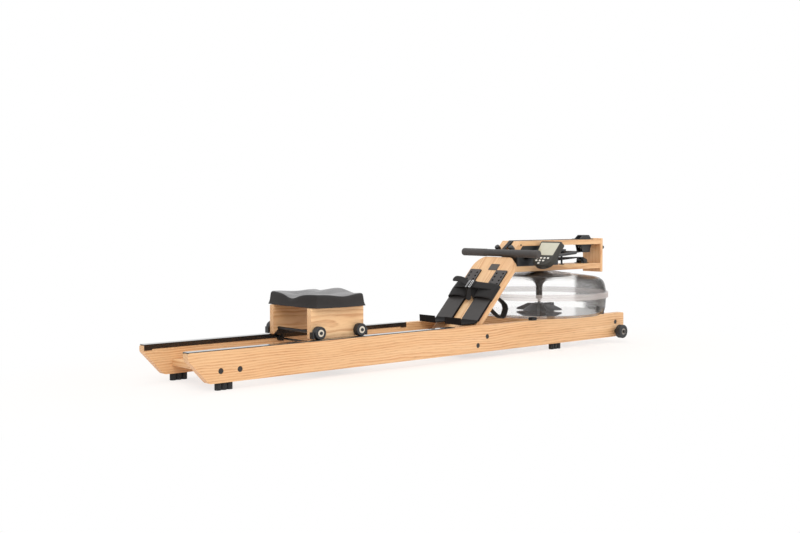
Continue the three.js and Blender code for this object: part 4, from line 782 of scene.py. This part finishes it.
# %% Handle
HANDLE = (1498, 383.6)
GRIP_STARTS = 72.5
turned("handle_grip_foam", [
    (0, -205), (15.25, -205, 5), (15.25, -178.5, 0.6), (14.7, -178, 0.2), (14.7, -177, 0.2),
    (15.25, -176.5, 0.6), (15.25, -74, 1.5), (14.3, -72, 1), (14.3, 72, 1), (15.25, 74, 1.5),
    (15.25, 176.5, 0.6), (14.7, 177, 0.2), (14.7, 178, 0.2), (15.25, 178.5, 0.6), (15.25, 205, 5), (0, 205),
], at(HANDLE[0], 0, HANDLE[1]), [grip, grip_dark], "handle_grip", sides=48,
    pick=lambda p: abs(p.y) < GRIP_STARTS)
print("handle turned")

# %% [markdown]
# ## Webbing
# Belts and straps are flat woven bands. Each is a grid whose long side follows its way, made two-sided by
# the Solidify modifier. The grid keeps its own UV map, so the weave runs along the band wherever it turns.

# %% Bands
def woven(name, shade, wide, long_steps):
    """Webbing whose weave follows the band's UV map: U along it, V across it."""
    cloth = Finish(name)
    unrolled = cloth.node("ShaderNodeUVMap")
    ribs, cords = [cloth.node("ShaderNodeMath", {"operation": "SINE"}, {
        0: cloth.node("ShaderNodeSeparateXYZ", None, {0: unrolled}, axis) * count,
    }) for axis, count in (("X", long_steps), ("Y", wide))]
    weave = ribs * cords
    fuzz = cloth.noise(cloth.place(), 500, 3.0)
    return cloth.surface(
        Base_Color=cloth.blend(cloth.step(weave, -0.4, 1) * 0.6 + fuzz * 0.25, shade, toned(shade, 1.9)),
        Roughness=0.82 + fuzz * 0.12, Normal=cloth.bump(weave + fuzz * 0.6, 0.0004, 0.8))


def band(name, way, material, thickness, across=4, along=60, node=None):
    """way(u, v) gives the place of each point, with u from 0 to 1 along the band and v across it."""
    bm = bmesh.new()
    bmesh.ops.create_grid(bm, x_segments=along, y_segments=across, size=0.5, calc_uvs=True)
    for vert in bm.verts:
        vert.co = way(vert.co.x + 0.5, vert.co.y + 0.5)
    bmesh.ops.recalc_face_normals(bm, faces=bm.faces)
    piece = finished(name, to_mesh(bm, name, smooth=True), [material], node)
    skin = piece.modifiers.new("thickness", "SOLIDIFY")
    skin.thickness = thickness
    skin.offset = 0


def follow(points):
    """The place and the width's direction at a share of a line's length. Each point has its own direction."""
    lengths = [0.0]
    for (a, _), (b, _) in zip(points, points[1:]):
        lengths.append(lengths[-1] + (b - a).length)

    def place(share):
        wanted = share * lengths[-1]
        k = max(i for i, length in enumerate(lengths[:-1]) if length <= wanted + 1e-9)
        part = (wanted - lengths[k]) / (lengths[k + 1] - lengths[k])
        (start, across), (end, turned_to) = points[k], points[k + 1]
        return start.lerp(end, part), across.lerp(turned_to, part).normalized()

    return place


def strip(points, width, round_tip=False):
    """A band's way along points, with a tip that narrows or without."""
    line = follow(points)

    def way(u, v):
        place, across = line(u)
        tip = math.sqrt(max(0, 1 - max(0, (u - 0.88) / 0.12) ** 2)) if round_tip else 1
        return place + across * (v - 0.5) * width * max(tip, 0.12)

    return way


# %% Belts
LEVEL_ACROSS = Vector((0, 1, 0))
BELT_WIDTH, BELT_THICKNESS = 18 * MM, 1.6 * MM
DRUM_RADIUS, DRUM_WRAP, TWIST_STEPS = 32, 150, 24


def round_pulley(x, z, radius, start, end, count=16):
    """The belt round a pulley, from a start angle to an end angle."""
    angles = [start + (end - start) * i / count for i in range(count + 1)]
    return [(at(x + radius * math.cos(a), 0, z + radius * math.sin(a)), LEVEL_ACROSS) for a in angles]


def to_drum(start, z, side, up):
    """The quarter twist down to the drum and the wrap round it."""
    radius = DRUM_RADIUS + 0.8 + 0.9
    end = at(TANK_X, side * radius, z)
    shares = [i / TWIST_STEPS for i in range(1, TWIST_STEPS + 1)]
    quarters = [share * math.pi / 2 for share in shares]
    twist = [(start.lerp(end, share), Vector((0, math.cos(turn), side * up * math.sin(turn))))
             for share, turn in zip(shares, quarters)]
    wrap = [side * math.radians(90 + DRUM_WRAP * share) for share in shares]
    return twist + [(at(TANK_X + radius * math.cos(a), radius * math.sin(a), z), twist[-1][1]) for a in wrap]


# Each pulley's x, z and the radius at the middle of the belt
REAR, FRONT, RECOIL = (1568, 413.9, 17.6), (2015, 405.1, 26.4), (2001, 342.5, 12.1)
DRIVE_BAY, RECOIL_BAY, RECOIL_END, STRAP_STARTS = 376.3, 345.3, 308, 8.5
to_handle = Vector((HANDLE[0] - REAR[0], HANDLE[1] - REAR[1]))
TOUCH = math.atan2(to_handle.y, to_handle.x) + 2 * math.pi - math.acos(REAR[2] / to_handle.length)
belt_cloth = woven("belt_webbing", colour(44, 44, 46), 60, 2600)

over_front = round_pulley(*FRONT, math.pi / 2, -math.pi / 2)
over_rear = round_pulley(*REAR, TOUCH, math.pi / 2, 8)
drive = over_rear + over_front + to_drum(over_front[-1][0], DRIVE_BAY, -1, -1)
over_recoil = round_pulley(*RECOIL, 0, math.pi / 2, 8)
recoil_end = (at(RECOIL[0] + RECOIL[2], 0, RECOIL_END), LEVEL_ACROSS)
recoil = [recoil_end] + over_recoil + to_drum(over_recoil[-1][0], RECOIL_BAY, 1, 1)
grip_place, touch_place = at(HANDLE[0], 0, HANDLE[1]), over_rear[0][0]
pull = (touch_place - grip_place).normalized()
strap_line = [(grip_place + pull * STRAP_STARTS * MM, LEVEL_ACROSS), (touch_place, LEVEL_ACROSS)]
for node, line, steps in (("drive_belt", drive, 240), ("recoil_belt", recoil, 160),
                          ("handle_strap", strap_line, 12)):
    band(node + "_webbing", strip(line, BELT_WIDTH), belt_cloth, BELT_THICKNESS, 4, steps, node)
    print(node, "shown:", round(sum((b - a).length for (a, _), (b, _) in zip(line, line[1:])), 3), "m")

# %% [markdown]
# ## Seat
# The seat is one moulded pad of firm foam in a matt black skin: hollows for the sit bones, a notch at the
# tail, a swell between the legs in front, and sides that dip for the thighs. It isn't sewn, so it is a grid
# bent to a rounded rectangle, lifted by smooth swells and hollows, with its skirt extruded down to the base.

# %% Seat cushion
SEAT_CENTRE, SEAT_HALF, SEAT_WIDE, SEAT_BASE, SEAT_HEIGHT = 588, 109, 148, 227, 46
CORNER_ROUND = 0.36


def swell(value, width):
    return math.exp(-((value / width) ** 2))


def ease(value):
    value = max(0, min(1, value))
    return value * value * (3 - 2 * value)


def seat_top(a, b):
    """Height of the seat's top, in millimetres, at shares of its half length and half width."""
    side, front = abs(b), ease((a - 0.1) / 0.8)
    return (SEAT_HEIGHT + 8 * swell(b, 0.3) * front - 5 * swell(side - 0.62, 0.24) * front
            - 15 * swell(side - 0.36, 0.26) * swell(a + 0.2, 0.5)
            - 17 * swell(b, 0.28) * ease((-a - 0.35) / 0.6)
            - 8 * ease((side - 0.6) / 0.4) * swell(a - 0.05, 0.45))


def seat_corner(a, b, inset):
    """A square share turned into a place on a rectangle with round corners."""
    size = math.sqrt(1 - CORNER_ROUND / 2 * 0.55)
    x = a * math.sqrt(1 - CORNER_ROUND * b * b / 2) / size
    y = b * math.sqrt(1 - CORNER_ROUND * a * a / 2) / size
    return x * (SEAT_HALF - inset), y * (SEAT_WIDE - inset)


# Each ring: how far in from the outline, how far under the top, or else its share of the seat's height
SKIRT = ((15, 0.4, None), (11.2, 1.6, None), (8.4, 4.4, None), (7, 9, None), (5.6, 0, 0.46), (4.2, 0, 0.22),
         (1.5, 0, 0.06), (0.4, 0, 0.03), (1.2, 0, 0.008), (8, 0, 0.006), (40, 0, 0.006))
bm = bmesh.new()
bmesh.ops.create_grid(bm, x_segments=40, y_segments=52, size=1)
edge = [e for e in bm.edges if e.is_boundary]
for level in range(1, len(SKIRT)):
    made = bmesh.ops.extrude_edge_only(bm, edges=edge)["geom"]
    edge = [e for e in made if isinstance(e, bmesh.types.BMEdge)]
    for vert in made:
        if isinstance(vert, bmesh.types.BMVert):
            vert.co.z = level
bmesh.ops.contextual_create(bm, geom=edge)
for face in bm.faces:
    face.material_index = 1 if any(vert.co.z > 1.5 for vert in face.verts) else 0
for vert in bm.verts:
    a, b, level = vert.co
    inset, drop, share = SKIRT[round(level)]
    x, y = seat_corner(a, b, inset)
    top = seat_top(x / SEAT_HALF, y / SEAT_WIDE)
    if level < 0.5:
        drop *= max(0, (max(abs(a), abs(b)) - 0.9) / 0.1)
    vert.co = at(SEAT_CENTRE + x, y, SEAT_BASE + (top - drop if share is None else SEAT_HEIGHT * share))
bmesh.ops.recalc_face_normals(bm, faces=bm.faces)
pad = to_mesh(bm, "seat_pad", smooth=True)


def seat_skin(name, dark, light, roughness, mirror):
    """A pebbled skin with a slow change of tone."""
    hide = Finish(name)
    where = hide.place()
    pebbles = hide.node("ShaderNodeTexVoronoi", {"feature": "DISTANCE_TO_EDGE"},
                        {"Vector": where, "Scale": 620})
    cloudy = hide.noise(where, 16, 3.0)
    return hide.surface(
        Base_Color=hide.blend(hide.step(cloudy, 0.3, 0.75), dark, light),
        Roughness=roughness + (cloudy - 0.5) * 0.14, Specular_IOR_Level=mirror,
        Normal=hide.bump(hide.step(pebbles, 0, 0.25), 0.00015, 0.5))


# One black skin: the top is painted lighter grey for the light from above and its sheen, and the skirt darker
# as shaded sides.
polished_top_painted_light = seat_skin("seat_top_skin", colour(92, 90, 91), colour(106, 104, 105), 0.34, 0.7)
matt_side_painted_shade = seat_skin("seat_side_skin", colour(44, 42, 42), colour(50, 48, 48), 0.66, 0.22)
seat_pad = finished("seat_pad", pad, [polished_top_painted_light, matt_side_painted_shade], "seat_cushion")
smooth = seat_pad.modifiers.new("smooth", "SUBSURF")
smooth.levels = smooth.render_levels = 1
print("seat pad:", len(pad.vertices), "points")

# %% [markdown]
# ## Heel rests and foot straps
# A heel rest is a moulded sole on the perforated plate, with a cup for the heel; its solid is dressed. Each
# strap is two bands. A wide one starts between the soles, arches over the toes and ends under the sole's
# outer edge. A narrower one is pulled from that edge up to the buckle, which stands high between the feet,
# and down again. The loose end leaves the buckle, and spare webbing hangs in a loop behind the board. Pulled
# webbing hardly folds, so no cloth is simulated: each band is a grid bent along a drawn line.

# %% Heel rests
CUP_ENDS = 192


def edge_or_cup(centre, normal):
    """The edges and the heel's cup are the black plastic, painted darker as shade; the face that the foot
    slides on is painted grey as the sheen of light on it.
    """
    return normal.dot(BOARD_OUT) <= 0.75 or up_and_out(centre)[0] <= CUP_ENDS


for side, _ in NEAR_AND_FAR:
    dressed("heel_rest_" + side, [sole_painted_sheen, black_and_painted_shade], 0.0012, edge_or_cup, 34)
print("heel rests dressed")

# %% Foot straps
STRAP_SPAN, STRAP_LEG, STRAP_RISE, STRAP_MIDDLE = 44.7, 11, 15.2, 316
strap_cloth = woven("strap_webbing", colour(22, 20, 20), 200, 900)


def along_line(line):
    """The point at a share of the length of a flat line."""
    place = follow([(Vector(point), LEVEL_ACROSS) for point in line])
    return lambda share: place(share)[0]


def toe_band(sign):
    """From between the soles over the toes and under the sole's outer edge, where it is widest."""
    inner, outer = PLATE_MIDDLE - STRAP_SPAN, PLATE_MIDDLE + STRAP_SPAN
    turns = [math.pi * i / 40 for i in range(41)]
    arch = [(PLATE_MIDDLE - STRAP_SPAN * math.cos(turn), STRAP_LEG + STRAP_RISE * math.sin(turn) ** 0.7)
            for turn in turns]
    point = along_line([(inner, 0.5)] + arch + [(outer, 3), (outer - 1, 1.4), (outer - 5, 1.2)])

    def way(u, v):
        y, d = point(u)
        width = 66 + 5 * ease((y - 34) / 66)
        hem = 1.2 * math.cos(math.pi * (2 * v - 1)) - 1.2
        return on_board(STRAP_MIDDLE + (v - 0.5) * width, sign * y, d + (hem if d > 12 else 0))

    return way


def upper_band(sign):
    """From the sole's outer edge up to the buckle, which stands high, and down to the inner edge."""
    point = along_line([(115, 5), (112, 14), (102, 23), (86, 29), (64, 34), (42, 39), (24, 43), (12, 44),
                        (9, 40), (13, 29), (19, 16), (25, 3)])

    def way(u, v):
        y, d = point(u)
        middle = 334 - 9 * ease(u / 0.7) - 20 * ease((u - 0.7) / 0.3)
        return on_board(middle + (v - 0.5) * (30 + 22 * ease((u - 0.62) / 0.2)), sign * y, d)

    return way


def back_loop(sign):
    """The spare webbing hangs in a loop behind the board."""
    point = along_line([(324, -27), (330, -52), (332, -78), (324, -94), (306, -102), (286, -104), (277, -96),
                        (273, -72), (270, -50), (268, -27)])

    def way(u, v):
        s, d = point(u)
        return on_board(s, sign * (92 + (v - 0.5) * 30), d)

    return way


for side, sign in NEAR_AND_FAR:
    band("strap_over_toes_" + side, toe_band(sign), strap_cloth, 2.0 * MM, 8, 120, "foot_strap_" + side)
    band("strap_pulled_" + side, upper_band(sign), strap_cloth, 1.8 * MM, 6, 40)
    band("strap_loop_" + side, back_loop(sign), strap_cloth, 1.8 * MM, 4, 60)
print("straps over the toes made")

# %% Buckles and loose ends
BUCKLE_LONG, BUCKLE_WIDE, BUCKLE_WIRE = 0.034, 0.009, 0.002
buckle_metal = metal("buckle_metal", (206, 206, 207), 0.35)
for side, sign in NEAR_AND_FAR:
    bm = bmesh.new()
    bmesh.ops.create_grid(bm, x_segments=1, y_segments=1, size=0.5)
    bmesh.ops.scale(bm, verts=bm.verts, vec=(BUCKLE_LONG, BUCKLE_WIDE, 1))
    bmesh.ops.inset_region(bm, faces=bm.faces[:], use_boundary=True, use_even_offset=True,
                           thickness=BUCKLE_WIRE, depth=0)
    middle = min(bm.faces, key=lambda f: f.calc_center_median().length)
    bmesh.ops.delete(bm, geom=[middle], context="FACES")
    bmesh.ops.solidify(bm, geom=bm.faces[:], thickness=BUCKLE_WIRE)
    bmesh.ops.recalc_face_normals(bm, faces=bm.faces)
    tilt = Matrix.Rotation(-BOARD_ANGLE, 4, "Y") @ Matrix.Rotation(sign * math.radians(-12), 4, "X")
    bmesh.ops.transform(bm, matrix=Matrix.Translation(on_board(323, sign * 9, 49)) @ tilt, verts=bm.verts)
    buckle = finished("strap_buckle_" + side, to_mesh(bm, "buckle"), [buckle_metal])
    soften(buckle, 0.0005, False)

# The near end hangs down between the soles; the far end was pulled and stands off its strap
hanging = [((325, -22, 45.5), UP_THE_BOARD), ((322, -12, 46.5), UP_THE_BOARD), ((310, -8, 43), (1, 1.2, 0.9)),
           ((296, -7, 34), LEVEL_ACROSS), ((282, -7, 24), LEVEL_ACROSS), ((267, -8, 15), LEVEL_ACROSS)]
standing = [((326, 8, 46), UP_THE_BOARD), ((331, 26, 47), UP_THE_BOARD), ((337, 44, 51), UP_THE_BOARD),
            ((339, 62, 54), UP_THE_BOARD), ((339, 80, 55), UP_THE_BOARD), ((338, 95, 55), UP_THE_BOARD)]
for side, width, line in (("near", 24, hanging), ("far", 26, standing)):
    points = [(on_board(*place), Vector(across).normalized()) for place, across in line]
    band("strap_end_" + side, strip(points, width * MM, True), strap_cloth, 2.0 * MM, 6, 30)
print("buckles and loose ends made")

# %% [markdown]
# ## Monitor glass, bare plate and painted shade
# The screen is grey-green liquid crystal glass with nothing written on it. On the board above the foot plates
# sits a small square plate, left bare. A thin black sheet under each foot plate paints the shade in its
# holes, and a small black block before and behind each seat wheel paints its contact shadow and its
# reflection in the
# track. All are slabs: boxes with round corners.

# %% Screen
SCREEN_TILT = math.radians(38)
SCREEN_CENTRE = at(1653.5, -112, 399.3)
SCREEN_WIDE, SCREEN_HIGH, SCREEN_THICK = 87.2, 61.4, 0.8
SCREEN_TOP, SCREEN_FOOT = 95.4, 85.4
on_reader = Matrix.Translation(SCREEN_CENTRE) @ Matrix((
    (0, math.sin(SCREEN_TILT), -math.cos(SCREEN_TILT)),
    (-1, 0, 0),
    (0, math.cos(SCREEN_TILT), math.sin(SCREEN_TILT)),
)).to_4x4()


def slab(name, size, matrix, material, round_corner, soft=0.0003, body="frame"):
    """A flat plate with round corners, lying in the XY plane of a matrix."""
    bm = bmesh.new()
    bmesh.ops.create_cube(bm, size=1)
    bmesh.ops.scale(bm, verts=bm.verts, vec=[v * MM for v in size])
    upright = [e for e in bm.edges if abs((e.verts[0].co - e.verts[1].co).z) > size[2] * MM / 2]
    bmesh.ops.bevel(bm, geom=upright, offset=round_corner * MM, segments=5, affect="EDGES", profile=0.5,
                    material=-1)
    bmesh.ops.transform(bm, matrix=matrix, verts=bm.verts)
    return soften(finished(name, to_mesh(bm, name, 30), [material], body=body), soft, False)


crystal = Finish("screen_crystal")
clouds = crystal.noise(crystal.place(), 40, 2.0)
lcd = crystal.surface(
    Base_Color=crystal.blend(clouds, colour(181, 178, 156), colour(191, 188, 166)), Roughness=0.2,
    Normal=crystal.bump(clouds, 0.00002, 0.2), Coat_Weight=0.5, Coat_Roughness=0.06)
glass = slab("screen_glass", (SCREEN_WIDE, SCREEN_HIGH, SCREEN_THICK), Matrix.Translation((0, 0, -0.0007)),
             lcd, 2, 0.0002, "monitor")
for vert in glass.data.vertices:
    share = vert.co.y / (SCREEN_HIGH * MM) + 0.5
    vert.co.x *= (SCREEN_FOOT + (SCREEN_TOP - SCREEN_FOOT) * share) / SCREEN_WIDE
    vert.co = on_reader @ vert.co
print("screen's width at top and foot:", SCREEN_TOP, SCREEN_FOOT)

# %% Bare plate, painted hole shade and painted wheel shadows
slab("bare_plate", (31, 46, 1.6), on_slope(451, -14, 0.8),
     moulded("bare_plate", (58, 50, 42), 0.38, 0.00003, 1200), 2.5)
# Under each foot plate a thin black sheet paints the shade in its holes.
for side, sign in NEAR_AND_FAR:
    slab("hole_shade_sheet_" + side, (250, 52, 0.2), on_slope(305, sign * PLATE_MIDDLE, 0.15), black_and_painted_shade, 2,
         soft=0.00002)
# A small black block before and behind each seat wheel paints the wheel's contact shadow and its reflection
# in the glossy track.
for (end, x), way in zip(SEAT_AXLES, (-1, 1)):
    for side, sign in NEAR_AND_FAR:
        beside_wheel = Matrix.Translation(at(x + way * 25.5, sign * 128.5, 139))
        slab(f"wheel_foot_shade_{end}_{side}", (7, 20, 22), beside_wheel, gloss_black, 2, soft=0.0008,
             body="seat")
print("plate, hole_shade_sheets and wheel_foot_shades made")

# %% [markdown]
# ## Closing
# The box of the dressed machine is printed.

# %% Sizes and finish
low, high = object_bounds()
print("dressed box:", [round(v, 3) for v in (*low, *high)])
